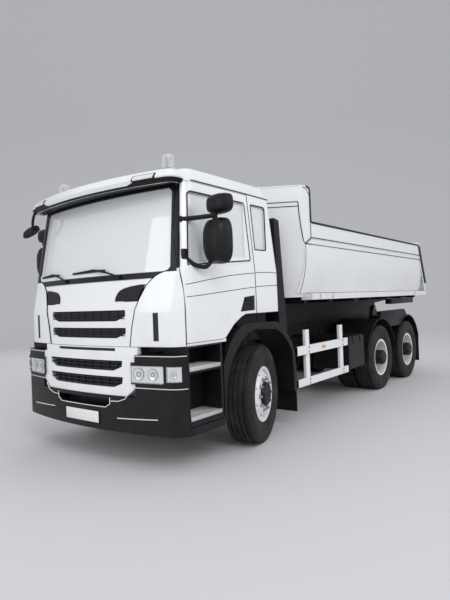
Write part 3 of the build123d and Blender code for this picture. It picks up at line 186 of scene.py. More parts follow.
class Shape:
    """Several closed forms gathered into one mesh."""

    def __init__(self):
        self.bm = bmesh.new()

    def add(self, points, faces):
        made = [self.bm.verts.new(p) for p in points]
        return made, [self.bm.faces.new([made[i] for i in dict.fromkeys(face)])
                      for face in faces if len(set(face)) > 2]

    def solid(self, points, faces, ease=0.0, steps=2):
        """A closed form with its faces turned outward and its edges eased."""
        new = self.add(points, faces)[1]
        bmesh.ops.recalc_face_normals(self.bm, faces=new)
        if ease:
            edges = {e for f in new for e in f.edges}
            bmesh.ops.bevel(self.bm, geom=list(edges), offset=ease, segments=steps, profile=0.5,
                            affect="EDGES", clamp_overlap=True)
        return self

    def box(self, low, high, ease=0.004, steps=2):
        """A block between two corners."""
        xs, ys, zs = zip(low, high)
        return self.solid([(x, y, z) for x in xs for y in ys for z in zs],
                          [(0, 1, 3, 2), (4, 6, 7, 5), (0, 4, 5, 1), (2, 3, 7, 6), (0, 2, 6, 4), (1, 5, 7, 3)],
                          ease, steps)

    def beside(self, s, low, high, *ease):
        """A block given for the left side, made on side s."""
        y0, y1 = sorted((s * low[1], s * high[1]))
        return self.box((low[0], y0, low[2]), (high[0], y1, high[2]), *ease)

    def slab(self, outline, lift, ease=0.0, steps=2):
        """A flat outline of points thickened by the vector lift."""
        n = len(outline)
        lift = Vector(lift)
        return self.solid([Vector(p) for p in outline] + [Vector(p) + lift for p in outline],
                          [tuple(range(n)), tuple(range(2 * n - 1, n - 1, -1))]
                          + [(i, (i + 1) % n, n + (i + 1) % n, n + i) for i in range(n)], ease, steps)

    def turned(self, profile, centre, axis, steps=64):
        """A profile of (along the axis, radius) spun about the axis."""
        axis = Vector(axis).normalized()
        side = axis.orthogonal().normalized()
        if abs(axis.z) < 0.9:
            side = (UP - axis * axis.z).normalized()
        other = axis.cross(side)
        centre, n = Vector(centre), len(profile)
        points, faces = [], []
        for k in range(steps):
            a = 2 * pi * k / steps
            d = side * cos(a) + other * sin(a)
            points += [centre + axis * w + d * max(r, 1e-5) for w, r in profile]
            m = (k + 1) % steps
            for i in range(n):
                j = (i + 1) % n
                faces.append((k * n + i, k * n + j, m * n + j, m * n + i))
        verts, made = self.add(points, faces)
        bmesh.ops.remove_doubles(self.bm, verts=verts, dist=2e-5)
        bmesh.ops.recalc_face_normals(self.bm, faces=[f for f in made if f.is_valid])
        return self

    def tube(self, points, radius, sides=10):
        """A round bar through points, with rounded bends."""
        line = [Vector(p) for p in points]
        path = [line[0]]
        for a, b, c in zip(line, line[1:], line[2:]):
            cut = min(2.5 * radius, (b - a).length * 0.45, (c - b).length * 0.45)
            p, q = b + (a - b).normalized() * cut, b + (c - b).normalized() * cut
            path += [p, (p + q) / 4 + b / 2, q]
        path.append(line[-1])
        rings, up = [], None
        for i, p in enumerate(path):
            along = (path[min(i + 1, len(path) - 1)] - path[max(i - 1, 0)]).normalized()
            up = (along.orthogonal() if up is None else up - along * up.dot(along)).normalized()
            side = along.cross(up)
            rings.append([p + (up * cos(2 * pi * k / sides) + side * sin(2 * pi * k / sides)) * radius
                          for k in range(sides)])
        faces = [(i * sides + k, i * sides + (k + 1) % sides, (i + 1) * sides + (k + 1) % sides,
                  (i + 1) * sides + k) for i in range(len(rings) - 1) for k in range(sides)]
        faces += [tuple(range(sides))[::-1], tuple((len(rings) - 1) * sides + k for k in range(sides))]
        return self.solid([p for r in rings for p in r], faces)

    def skin(self, rows, thickness, around=False):
        """Rows of points joined into a sheet, given a wall towards its back."""
        m = len(rows[0])
        points = [Vector(p) for row in rows for p in row]
        count = m if around else m - 1
        quads = [(i * m + k, i * m + (k + 1) % m, (i + 1) * m + (k + 1) % m, (i + 1) * m + k)
                 for i in range(len(rows) - 1) for k in range(count)]
        front = [Vector() for p in points]
        for a, b, c, d in quads:
            normal = (points[c] - points[a]).cross(points[d] - points[b])
            for i in (a, b, c, d):
                front[i] += normal
        back = [p - n.normalized() * thickness for p, n in zip(points, front)]
        size = len(points)
        faces = quads + [tuple(size + i for i in reversed(q)) for q in quads]
        edge = {}
        for a, b, c, d in quads:
            for e in ((a, b), (b, c), (c, d), (d, a)):
                if (e[1], e[0]) in edge:
                    del edge[(e[1], e[0])]
                else:
                    edge[e] = True
        faces += [(b, a, size + a, size + b) for a, b in edge]
        return self.solid(points + back, faces)

    def done(self, name, finish, body, *nodes, slot=None):
        """The finished piece, riding on a body and standing for CAD nodes."""
        mesh = bpy.data.meshes.new(name)
        self.bm.to_mesh(mesh)
        self.bm.free()
        crisp(mesh)
        mesh.materials.append(finish.mat)
        return settle(placed(name, mesh), body, nodes)


ground = Finish("studio floor", (0.68, 0.68, 0.685), 0.85)
grain = ground.noise(60, 4)
ground.feed(Base_Color=ground.stained(grain.within(0.3, 0.7) * 0.35, (0.64, 0.64, 0.645)))
profile = [(-26.0, 40.0)] + [(-26 + 14 * (1 - cos(a)), 14 - 14 * sin(a)) for a in
                             (pi * k / 48 for k in range(25))] + [(40.0, 0.0)]
mesh = bpy.data.meshes.new("floor")
side, fall = Vector((0.62, -0.785, 0)).normalized(), Vector((0.785, 0.62, 0)).normalized()
rows = [[fall * u + side * v + Vector((0, 0, h - 0.0005)) for u, h in profile] for v in (-60, 60)]
n = len(profile)
mesh.from_pydata([tuple(p) for r in rows for p in r], [],
                 [(k, k + 1, n + k + 1, n + k) for k in range(n - 1)])
mesh.shade_smooth()
mesh.materials.append(ground.mat)
placed("floor", mesh)

world = bpy.data.worlds.new("pale sky")
bpy.context.scene.world = world
world.use_nodes = True
sky = world.node_tree.nodes["Background"].inputs
sky["Color"].default_value, sky["Strength"].default_value = (0.93, 0.95, 1.0, 1), 0.72
for name, at, aim, size, power in (
        ("key lamp", (8.5, 8.5, 8.5), (1.0, 0, 1.2), 5.5, 400),
        ("side lamp", (-3.0, 10.0, 6.0), (-1.0, 0, 1.3), 6.0, 190),
        ("front lamp", (12.0, -1.5, 4.0), (2.0, 0, 1.4), 5.0, 150),
        ("far lamp", (-5.0, -9.0, 7.5), (0, 0, 1.5), 6.0, 190)):
    lamp = bpy.data.lights.new(name, "AREA")
    lamp.size, lamp.energy = size, power
    stand = placed(name, lamp)
    stand.location = at
    stand.rotation_euler = (Vector(aim) - Vector(at)).to_track_quat("-Z", "Y").to_euler()

EYE = Vector((6.8437, 4.2079, 1.5499))
yaw, pitch, roll = 0.658, 0.0017, -0.0375
ahead = Vector((-cos(yaw) * cos(pitch), -sin(yaw) * cos(pitch), sin(pitch)))
right = ahead.cross(UP).normalized()
over = right.cross(ahead)
across, upward = cos(roll) * right + sin(roll) * over, -sin(roll) * right + cos(roll) * over
optics = bpy.data.cameras.new("camera")
optics.sensor_width, optics.lens, optics.clip_end = 36.0, 29.733, 200
camera = placed("camera", optics)
camera.matrix_world = Matrix.Translation(EYE) @ Matrix(
    ((across.x, upward.x, -ahead.x), (across.y, upward.y, -ahead.y), (across.z, upward.z, -ahead.z))).to_4x4()
bpy.context.scene.camera = camera
bpy.context.scene.view_settings.view_transform = "Standard"

# ------------------------------------------------ frame and tipper subframe
# Two pressed steel rails joined by crossmembers, with a second pair of
# box-section rails clamped on top for the tipping body. Painted black and
# held together by hexagon bolts with washers.
AXLE = 2.380                     # front axle, ahead of the truck's middle
REAR_AXLES = (AXLE - 3.608, AXLE - 4.966)
HUB_Z = 0.522                    # height of the wheels' middles
RAIL_Y, SPRING_Y = 0.430, 0.385  # outer face of a frame rail, middle of a spring
SIDES = (("left", 1), ("right", -1))

chassis_paint = Finish("chassis paint", (0.007, 0.007, 0.008), 0.42, Specular_IOR_Level=0.25)
dirt = chassis_paint.noise(7, 5) * chassis_paint.noise(55, 3)
film = dirt.within(0.22, 0.42) * (1 - chassis_paint.height().within(0.5, 2.2)) * 0.5
chassis_paint.feed(Base_Color=chassis_paint.stained(film * 0.5, (0.12, 0.10, 0.08)), Roughness=film * 0.45 + 0.4)
chassis_paint.grain(420, 2, 0.0006, 0.35)


def baked(made):
    """The mesh of an object with its modifiers applied."""
    bpy.context.view_layer.update()
    return bpy.data.meshes.new_from_object(made.evaluated_get(bpy.context.evaluated_depsgraph_get()))


def eased(node, finish, width=0.004, steps=2):
    """A carried-over solid with its sharp edges rounded off."""
    source = frame["nodes"][node]
    bm = bmesh.new()
    bm.from_mesh(source.data)
    bmesh.ops.remove_doubles(bm, verts=bm.verts, dist=3e-5)
    bmesh.ops.dissolve_limit(bm, angle_limit=radians(0.6), verts=bm.verts, edges=bm.edges)
    mesh = bpy.data.meshes.new(node + "_eased")
    bm.to_mesh(mesh)
    bm.free()
    mesh.shade_smooth()
    raw = placed(node + "_raw", mesh)
    bevel = raw.modifiers.new("edges", "BEVEL")
    bevel.width, bevel.segments, bevel.limit_method, bevel.angle_limit = width, steps, "ANGLE", radians(32)
    bevel.use_clamp_overlap = True
    raw.modifiers.new("shading", "WEIGHTED_NORMAL").keep_sharp = False
    done = baked(raw)
    bpy.data.objects.remove(raw)
    done.materials.clear()
    done.materials.append(finish.mat)
    return settle(placed(node + "_made", done), source["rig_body"], [node])


def coat(finish, *nodes):
    """A carried-over solid keeps its shape and gets this finish."""
    for node in nodes:
        made = frame["nodes"][node]
        if not made.material_slots:
            made.data.materials.append(finish.mat)
        for place in made.material_slots:
            place.material = finish.mat


def copies_tree():
    """Copies of one small part, each on a point, facing out along its own direction."""
    tree = bpy.data.node_groups.new("copies on points", "GeometryNodeTree")
    for label, way, kind in (("Geometry", "INPUT", "NodeSocketGeometry"), ("Part", "INPUT", "NodeSocketObject"),
                             ("Finish", "INPUT", "NodeSocketMaterial"), ("Geometry", "OUTPUT", "NodeSocketGeometry")):
        tree.interface.new_socket(label, in_out=way, socket_type=kind)
    made = {}
    for key, kind in (("in", "NodeGroupInput"), ("part", "GeometryNodeObjectInfo"),
                      ("face", "GeometryNodeInputNamedAttribute"), ("lay", "GeometryNodeInputNamedAttribute"),
                      ("stand", "FunctionNodeAlignRotationToVector"), ("turn", "FunctionNodeAlignRotationToVector"),
                      ("put", "GeometryNodeInstanceOnPoints"), ("real", "GeometryNodeRealizeInstances"),
                      ("paint", "GeometryNodeSetMaterial"), ("out", "NodeGroupOutput")):
        made[key] = tree.nodes.new(kind)
    for key in ("face", "lay"):
        made[key].data_type = "FLOAT_VECTOR"
        made[key].inputs["Name"].default_value = key
    made["stand"].axis = "Z"
    made["turn"].axis, made["turn"].pivot_axis = "X", "Z"
    for a, out, b, into in (
            ("in", "Part", "part", "Object"), ("face", "Attribute", "stand", "Vector"),
            ("stand", "Rotation", "turn", "Rotation"), ("lay", "Attribute", "turn", "Vector"),
            ("in", "Geometry", "put", "Points"), ("part", "Geometry", "put", "Instance"),
            ("turn", "Rotation", "put", "Rotation"), ("put", "Instances", "real", "Geometry"),
            ("real", "Geometry", "paint", "Geometry"), ("in", "Finish", "paint", "Material"),
            ("paint", "Geometry", "out", "Geometry")):
        tree.links.new(made[a].outputs[out], made[b].inputs[into])
    return tree


COPIES = copies_tree()


def copies(name, part, places, finish, body):
    """One mesh of a part repeated at places: (point, facing direction, lying direction)."""
    mesh = bpy.data.meshes.new(name + "_points")
    mesh.from_pydata([tuple(p[0]) for p in places], [], [])
    for key, which in (("face", 1), ("lay", 2)):
        held = mesh.attributes.new(key, "FLOAT_VECTOR", "POINT")
        for item, place in zip(held.data, places):
            item.vector = place[which]
    small = bpy.data.meshes.new(name + "_part")
    part.bm.to_mesh(small)
    crisp(small)
    host, sample = placed(name + "_points", mesh), placed(name + "_part", small)
    grow = host.modifiers.new("copies", "NODES")
    grow.node_group = COPIES
    for item in COPIES.interface.items_tree:
        if item.in_out == "INPUT" and item.name != "Geometry":
            grow[item.identifier] = {"Part": sample, "Finish": finish.mat}[item.name]
    done = baked(host)
    for key in ("face", "lay"):
        if key in done.attributes:
            done.attributes.remove(done.attributes[key])
    for o in (host, sample):
        bpy.data.objects.remove(o)
    return settle(placed(name, done), body, ())


def hex_bolt(across_flats, head, washer=1.35):
    """A hexagon head with a chamfer, on its washer, standing on +Z."""
    r = across_flats / 2 / cos(pi / 6)
    part = Shape()
    part.turned([(0, 0), (0, r * washer), (head * 0.18, r * washer), (head * 0.22, r * 0.9), (head * 0.22, 0)],
                (0, 0, 0), UP, 12)
    return part.turned([(head * 0.2, 0), (head * 0.2, r), (head * 0.85, r), (head, r * 0.82), (head, 0)],
                       (0, 0, 0), UP, 6)


def turns(n, start=0.0):
    """Angles spread evenly round a circle."""
    return [2 * pi * (k + start) / n for k in range(n)]


eased("chassis_frame", chassis_paint, 0.004)
eased("tipper_subframe", chassis_paint, 0.004)
spots = []
for s in (1, -1):
    facing = (0, s, 0), (1, 0, 0)
    spots += [((AXLE + 1.05 - k * 0.165, s * RAIL_Y, z), *facing) for k in range(40) for z in (0.802, 0.988)]
    # clamps between the two pairs of rails
    spots += [((AXLE - 0.90 - k * 0.55 + dx, s * RAIL_Y, 1.09), *facing) for k in range(9) for dx in (-0.035, 0.035)]
copies("frame_bolts", hex_bolt(0.024, 0.014), spots, chassis_paint, "chassis")

# ------------------------------------------------ engine and gearbox
# Cast iron block with six rocker covers, a pressed sump, cooling fins along
# the gearbox and a ring of bolts at the bell housing.
cast_iron = Finish("cast iron", (0.17, 0.175, 0.18), 0.6, Metallic=0.55)
oil = cast_iron.noise(9, 4).within(0.5, 0.75)
cast_iron.feed(Base_Color=cast_iron.stained(oil * 0.6, (0.05, 0.045, 0.04)), Roughness=0.66 - oil * 0.25)
cast_iron.grain(260, 4, 0.0012, 0.5)
eased("engine_block", cast_iron, 0.012, 3)
engine = Shape()
for k in range(6):
    x = AXLE - 0.16 + k * 0.165
    engine.box((x, -0.20, 1.138), (x + 0.135, 0.16, 1.146), 0.003)
for s in (-1, 1):
    for k in range(11):
        x = AXLE - 0.20 + k * 0.098
        engine.box((x, s * 0.30, 0.66), (x + 0.016, s * 0.309, 1.10), 0.003)
engine.box((AXLE - 0.22, -0.22, 0.600), (AXLE + 0.82, 0.22, 0.625), 0.008, 3)
for k in range(8):
    x = AXLE - 0.98 + k * 0.085
    engine.turned([(0, 0.200), (0, 0.216), (0.014, 0.216), (0.014, 0.200)], (x, 0, 0.800), (1, 0, 0), 48)
engine.done("engine_castings", cast_iron, "chassis", slot="engine_grey")
ring = [((AXLE - 0.255, 0.235 * cos(a), 0.80 + 0.235 * sin(a)), (-1, 0, 0), (0, 1, 0))
        for a in turns(14) if 0.80 + 0.235 * sin(a) < 1.06]
copies("bell_housing_bolts", hex_bolt(0.022, 0.014), ring, cast_iron, "chassis")

# ------------------------------------------------ axles, springs and propeller shaft
# A forged front beam and two cast rear housings hang on stacks of steel
# leaves, clamped to their seats by U-bolts.
coat(chassis_paint, "front_axle", "rear_axles", "propshaft")
spring_steel = Finish("spring steel", (0.045, 0.043, 0.042), 0.5, Metallic=0.6)
rust = spring_steel.noise(30, 5).within(0.52, 0.72)
spring_steel.feed(Base_Color=spring_steel.stained(rust * 0.5, (0.16, 0.07, 0.035)), Roughness=rust * 0.3 + 0.45)
spring_steel.grain(300, 3, 0.0006, 0.5)
springs = Shape()
for cx, half, low in [(AXLE, 0.780, 0.560)] + [(x, 0.600, 0.612) for x in REAR_AXLES]:
    for y in (SPRING_Y, -SPRING_Y):
        for k, share in enumerate((1.0, 0.97, 0.78, 0.58, 0.38)):
            rows = []
            for i in range(13):
                x = half * share * (i / 6 - 1)
                z = low + 0.060 - 0.012 * k + 0.062 * (x / half) ** 2
                rows.append([(cx + x, y - 0.0365, z), (cx + x, y + 0.0365, z)])
            springs.skin(rows, 0.0105)
        for e in (-1, 1):
            springs.turned([(-0.0375, 0.012), (-0.0375, 0.026), (0.0375, 0.026), (0.0375, 0.012)],
                           (cx + e * (half - 0.018), y, low + 0.113), (0, 1, 0), 20)
            springs.slab([(cx + e * (half + x), y - 0.030, z) for x, z in (
                (-0.040, low + 0.10), (0.002, low + 0.10), (0.002, 0.762), (-0.046, 0.762))], (0, 0.060, 0), 0.004)
            springs.tube([(cx + e * 0.075, y + w, z) for w, z in (
                (-0.047, low - 0.055), (-0.047, low + 0.078), (0.047, low + 0.078), (0.047, low - 0.055))], 0.009, 8)
springs.done("leaf_stacks", spring_steel, "chassis", "leaf_springs", slot="frame_black")
drums = Shape()
for x in REAR_AXLES:
    drums.turned([(-0.03, 0), (-0.03, 0.168), (0.0, 0.178), (0.02, 0.178), (0.02, 0)],
                 (x - 0.165, 0, HUB_Z), (-1, 0, 0), 48)
    drums.turned([(0, 0.0), (0, 0.092), (0.03, 0.092), (0.03, 0)], (x + 0.27, 0, 0.545), (1, 0, 0.08), 32)
drums.turned([(0, 0), (0, 0.075), (0.022, 0.075), (0.022, 0)], (AXLE - 1.075, 0, 0.762), (-1, 0, -0.08), 32)
drums.done("axle_covers", chassis_paint, "chassis", slot="frame_black")

# ------------------------------------------------ wheels and steering knuckles
# Radial truck tyres on pressed steel rims with ten nuts and a black hub. The
# front pair stands steered; each rear hub carries two tyres back to back.
rubber = Finish("tyre rubber", (0.010, 0.010, 0.010), 0.74, Specular_IOR_Level=0.3)
dust = rubber.noise(5, 4) * rubber.noise(60, 3)
rubber.feed(Base_Color=rubber.blend(dust.within(0.2, 0.45) * 0.4, (0.014, 0.014, 0.014), (0.11, 0.10, 0.085)))
rubber.grain(380, 3, 0.0006, 0.5)
enamel = Finish("wheel enamel", (0.80, 0.81, 0.82), 0.34, Coat_Weight=0.25)
grime = enamel.noise(14, 5).within(0.52, 0.75) * 0.3
enamel.feed(Base_Color=enamel.stained(grime, (0.36, 0.32, 0.28)), Roughness=grime + 0.32)
enamel.grain(500, 2, 0.0002, 0.3)
hub_black = Finish("hub black", (0.009, 0.009, 0.010), 0.38, Specular_IOR_Level=0.3).grain(350, 2, 0.0004, 0.4)
nut_steel = Finish("wheel nut steel", (0.42, 0.42, 0.43), 0.34, Metallic=0.9).grain(700, 2, 0.0002, 0.4)

# sections through half a tyre and a rim's seat: (along the axle, radius)
HALF_TYRE = [(0.118, 0.2915), (0.133, 0.301), (0.142, 0.325), (0.1425, 0.331), (0.1475, 0.338), (0.1545, 0.375),
             (0.156, 0.405), (0.1545, 0.437), (0.150, 0.462), (0.146, 0.474), (0.1425, 0.478), (0.137, 0.4955),
             (0.131, 0.507), (0.118, 0.5155), (0.088, 0.5175), (0.0865, 0.504), (0.0755, 0.504), (0.074, 0.522),
             (0.034, 0.522), (0.032, 0.507), (0.023, 0.507), (0.021, 0.522)]
SEAT = [(0.126, 0.265), (0.129, 0.305), (0.1275, 0.3075), (0.1255, 0.307), (0.1195, 0.2907),
        (-0.1195, 0.2907), (-0.1255, 0.307), (-0.1275, 0.3075), (-0.129, 0.305), (-0.126, 0.265)]
TWIN = 0.340                     # from tyre to tyre on a rear hub


def rays(out, n, start=0.0):
    """Directions spread evenly round the axis out."""
    side = out.cross(UP)
    return [side * cos(a) + UP * sin(a) for a in turns(n, start)]


def tyres(name, body, node, centre, out, offsets):
    """Treaded tyres at offsets along one axis."""
    rings, blocks = Shape(), []
    for w in offsets:
        rings.turned([(a + w, r) for a, r in HALF_TYRE] + [(w - a, r) for a, r in reversed(HALF_TYRE)],
                     centre, out, 120)
        for e in (-1, 1):
            blocks += [(centre + out * (w + e * 0.108) + ray * 0.513, ray, out * e) for ray in rays(out, 54, 0.25 * e)]
    rings.done(name, rubber, body, node, slot="tyre")
    lug = Shape().box((-0.0195, -0.023, -0.006), (0.0195, 0.023, 0.009), 0.0025, 1)
    copies(name + "_lugs", lug, blocks, rubber, body)


def pierced(made, centre, out, w, circle, radius, count):
    """Hand holes bored through a finished wheel disc."""
    cutter = Shape()
    for ray in rays(out, count, 0.5):
        cutter.turned([(w - 0.09, 0), (w - 0.09, radius), (w + 0.09, radius), (w + 0.09, 0)],
                      centre + ray * circle, out, 20)
    mesh = bpy.data.meshes.new("cutter")
    cutter.bm.to_mesh(mesh)
    tool = placed("cutter", mesh)
    cut = made.modifiers.new("holes", "BOOLEAN")
    cut.operation, cut.solver, cut.object = "DIFFERENCE", "EXACT", tool
    done = baked(made)
    crisp(done)
    made.modifiers.clear()
    made.data = done
    bpy.data.objects.remove(tool)


def nuts(name, body, centre, out, w, circle):
    """Ten wheel nuts on their studs."""
    nut = hex_bolt(0.032, 0.024, 1.3)
    nut.turned([(0.022, 0), (0.022, 0.0095), (0.034, 0.0095), (0.036, 0.0075), (0.036, 0)], (0, 0, 0), UP, 10)
    copies(name, nut, [(centre + out * w + ray * circle, out, ray) for ray in rays(out, 10)], nut_steel, body)


for side, s in SIDES:
    turn = radians(15 if s > 0 else 13.5)
    out = Vector((-s * sin(turn), s * cos(turn), 0))
    centre = Vector((AXLE, s * 1.020, HUB_Z)) + out * 0.062
    body = "front_wheel_" + side
    tyres("tyre_front_" + side, body, "front_tyre_" + side, centre, out, (0,))
    rim = Shape().turned(SEAT + [(0.082, 0.265), (0.112, 0.215), (0.119, 0.2035), (0.119, 0.126), (0.138, 0.126),
                                 (0.138, 0.204), (0.1365, 0.211), (0.130, 0.217), (0.102, 0.265)], centre, out, 96)
    pierced(rim.done("rim_front_" + side, enamel, body, "front_rim_" + side, slot="rim_white"),
            centre, out, 0.11, 0.240, 0.0205, 8)
    hub = Shape().turned([(0.085, 0.125), (0.086, 0.205), (-0.060, 0.205), (-0.060, 0.191), (0.072, 0.191),
                          (0.072, 0.105), (0.060, 0.100), (0.060, 0.0385), (0.122, 0.0385), (0.122, 0), (0.182, 0),
                          (0.182, 0.090), (0.179, 0.106), (0.172, 0.118), (0.166, 0.1225), (0.152, 0.126),
                          (0.150, 0.131), (0.139, 0.132)], centre, out, 72)
    hub.turned([(0.181, 0), (0.181, 0.030), (0.188, 0.027), (0.188, 0)], centre, out, 24)
    hub.done("hub_front_" + side, hub_black, body, slot="rim_white")
    copies("hub_bolts_front_" + side, hex_bolt(0.013, 0.008),
           [(centre + out * 0.176 + ray * 0.104, out, UP) for ray in rays(out, 8)], hub_black, body)
    nuts("nuts_front_" + side, body, centre, out, 0.138, 0.1675)
    eased("knuckle_" + side, chassis_paint, 0.004)
    for i, x in enumerate(REAR_AXLES, 1):
        mark, body = f"{i}_{side}", f"rear_wheel_{i}_{side}"
        out, centre = Vector((0, s, 0)), Vector((x, s * 1.070, HUB_Z))
        tyres("tyres_rear_" + mark, body, "rear_tyres_" + mark, centre, out, (0, -TWIN))
        rims = Shape().turned(SEAT + [(-0.070, 0.265), (-0.164, 0.176), (-0.169, 0.166), (-0.171, 0.166),
                                      (-0.176, 0.176), (-0.270, 0.265)] + [(w - TWIN, r) for w, r in SEAT]
                              + [(-0.286, 0.265), (-0.190, 0.170), (-0.186, 0.160), (-0.186, 0.106), (-0.156, 0.106),
                                 (-0.156, 0.186), (-0.152, 0.193), (-0.058, 0.265)], centre, out, 96)
        rims.done("rims_rear_" + mark, enamel, body, "rear_rims_" + mark, slot="rim_white")
        hub = Shape().turned([(-0.188, 0.104), (-0.200, 0.191), (-0.410, 0.191), (-0.410, 0.205), (-0.236, 0.205),
                              (-0.187, 0.160)], centre, out, 64)
        hub.turned([(-0.320, 0.0505), (-0.320, 0.098), (-0.190, 0.105), (-0.150, 0.105), (-0.140, 0.118),
                    (0.150, 0.118), (0.172, 0.108), (0.186, 0.086), (0.186, 0), (-0.040, 0), (-0.040, 0.0505)],
                   centre, out, 64)
        hub.turned([(-0.1555, 0.107), (-0.1555, 0.184), (-0.1500, 0.182), (-0.1500, 0.107)], centre, out, 64)
        hub.done("hub_rear_" + mark, hub_black, body, slot="rim_white")
        copies("hub_bolts_rear_" + mark, hex_bolt(0.016, 0.010),
               [(centre + out * 0.1855 + Vector((cos(a), 0, sin(a))) * 0.062, out, (0, 0, 1))
                for a in turns(8)], hub_black, body)
        nuts("nuts_rear_" + mark, body, centre, out, -0.150, 0.150)

# ------------------------------------------------ bumper, lower grille and lamps
# Deep moulded bumper in grained black plastic with a white lower grille let
# into it and a blank plate on a holder. Each clear lamp covers two bright
# reflectors and a side light.
moulding = Finish("black moulding", (0.008, 0.008, 0.009), 0.46, Specular_IOR_Level=0.25)
scuff = moulding.noise(11, 4).within(0.5, 0.8) * 0.35
moulding.feed(Base_Color=moulding.stained(scuff * (1 - moulding.height().within(0.4, 1.4)), (0.045, 0.042, 0.038)),
              Roughness=scuff * 0.4 + 0.42)
moulding.grain(900, 2, 0.0004, 0.5)
white = Finish("white paint", (0.86, 0.87, 0.88), 0.24, Coat_Weight=0.6, Coat_Roughness=0.06)
haze = white.noise(4, 4).within(0.45, 0.8) * (1 - white.height().within(0.6, 1.9)) * 0.25
white.feed(Base_Color=white.stained(haze, (0.52, 0.48, 0.42)), Roughness=haze * 0.8 + 0.22)
white.grain(40, 2, 0.00012, 0.2)
mesh_black = Finish("grille mesh black", (0.008, 0.008, 0.009), 0.6).grain(300, 2, 0.0005, 0.4)
bright = Finish("lamp reflector", (0.80, 0.81, 0.82), 0.12, Metallic=1.0).grain(90, 2, 0.0003, 0.25)
lens = Finish("lamp lens", (0.93, 0.95, 0.96), 0.05, Alpha=0.20, Coat_Weight=1.0).grain(25, 1, 0.0004, 0.15)
plate_and_highlight_white = Finish("blank plate and painted highlight", (0.82, 0.82, 0.80), 0.35).grain(120, 2, 0.0002, 0.2)


def bowed(front, half, bow, radius, rear):
    """Points round a bowed front with rounded corners, left rear to right rear."""
    bends, spans = 10, 36
    big = (half * half + bow * bow) / (2 * bow)
    cx, cy = front - big, half - radius
    fx = cx + sqrt((big - radius) ** 2 - cy * cy)
    edge = atan2(cy, fx - cx)
    line = [(rear, half)]
    line += [(fx + radius * sin(a), cy + radius * cos(a))
             for a in ((pi / 2 - edge) * k / bends for k in range(bends))]
    line += [(cx + big * cos(a), big * sin(a)) for a in (edge * (1 - 2 * k / spans) for k in range(spans + 1))]
    return line + [(x, -y) for x, y in reversed(line[:bends + 1])]


def stretch(line, y0, y1, steps=24, x_low=None):
    """Part of a bowed line between two widths (y0 > y1), or back along the side to x_low."""
    points, fine = [Vector(p) for p in line], []
    for a, b in zip(points, points[1:]):
        n = max(1, int((b - a).length / 0.006))
        fine += [a + (b - a) * (k / n) for k in range(n)]
    keep = [p for p in fine + points[-1:] if y1 <= p.y <= y0 and (x_low is None or p.x >= x_low)]
    total = sum((b - a).length for a, b in zip(keep, keep[1:]))
    out, gone, i = [keep[0]], 0.0, 0
    for k in range(1, steps):
        want = total * k / steps
        while gone + (keep[i + 1] - keep[i]).length < want:
            gone += (keep[i + 1] - keep[i]).length
            i += 1
        a, b = keep[i], keep[i + 1]
        out.append(a + (b - a) * ((want - gone) / max((b - a).length, 1e-9)))
    return out + [keep[-1]]


def span(s, far, near):
    """Two widths on side s, in the order that stretch asks for."""
    return (far, near) if s > 0 else (-near, -far)


def outward(rows, s):
    """Rows of a sheet in the order that keeps its front outside on side s."""
    return rows if s > 0 else [row[::-1] for row in rows]


def nose(inset):
    """The bumper's plan line, set in from its skin."""
    return bowed(AXLE + 1.430 - inset, 1.242 - inset, 0.160, 0.180 - inset, AXLE + 0.690)


def band(shape, line_at, y0, y1, heights, thickness, steps=24, x_low=None):
    """A sheet that follows a bowed line over some heights."""
    shape.skin([[(p.x, p.y, z) for p in stretch(line_at(z), y0, y1, steps, x_low)] for z in heights], thickness)


eased("bumper", moulding, 0.010, 3)
eased("lower_grille", white, 0.005, 3)
mesh = Shape()
band(mesh, lambda _: nose(0.064), 0.60, -0.60, [0.755, 1.035], 0.004)
band(mesh, lambda _: nose(0.074), 0.50, -0.50, [1.098, 1.142], 0.004)
for z in (0.785, 0.818, 0.851, 0.942, 0.974, 1.006):
    band(mesh, lambda _: nose(0.040), 0.600, -0.600, [z - 0.004, z + 0.004], 0.022)
for k in range(9):
    y = -0.48 + 0.12 * k
    for z0, z1 in ((0.770, 0.866), (0.927, 1.020)):
        x = stretch(nose(0.046), y + 0.004, y - 0.004, 1)[0].x
        mesh.box((x - 0.018, y - 0.003, z0), (x, y + 0.003, z1), 0)
mesh.done("lower_mesh", mesh_black, "chassis", slot="paint_white")
# Pale tubes along the bumper's edges and folds are painted highlights.
trim = Shape()
for z, y_in in ((1.072, 0.715), (0.780, 0.690)):             # painted highlight lines over and under the lamps
    for s in (1, -1):
        trim.tube([(p.x, p.y, z) for p in stretch(nose(-0.001), *span(s, 1.235, y_in), 18, AXLE + 1.19)], 0.0038, 6)
for s in (1, -1):
    trim.tube([(p.x, p.y, 0.500 - 0.02 * k / 14)
               for k, p in enumerate(stretch(nose(-0.001), *span(s, 0.98, 0.50), 14))], 0.0045, 6)
corner = [(0.352, 0.572), (0.415, 0.608), (0.415, 0.668)]    # painted highlight lines round the towing slot, and along the folds beside it
wing = [(0.415, 0.636), (0.520, 0.640), (0.610, 0.668), (0.668, 0.735)]
for path in (corner, [(-y, z) for y, z in corner], [(0.352, 0.572), (0, 0.572), (-0.352, 0.572)],
             wing, [(-y, z) for y, z in wing]):
    spots = []
    for (ya, za), (yb, zb) in zip(path, path[1:]):
        for k in range(7):
            y, z = ya + (yb - ya) * k / 6, za + (zb - za) * k / 6
            spots.append((stretch(nose(-0.001), y + 0.01, y - 0.01, 1)[0].x, y, z))
    trim.tube(spots, 0.004, 6)
trim.done("bumper_trim", plate_and_highlight_white, "chassis", slot="plastic_black")
plate = Shape().box((AXLE + 1.4305, -0.260, 0.412), (AXLE + 1.4345, 0.260, 0.522), 0.0015)
plate.done("plate", plate_and_highlight_white, "chassis", slot="plastic_black")
holder = Shape()
holder.box((AXLE + 1.408, -0.272, 0.400), (AXLE + 1.4305, 0.272, 0.534), 0.004)
holder.box((AXLE + 1.300, -0.46, 0.520), (AXLE + 1.306, 0.46, 0.730), 0.002)
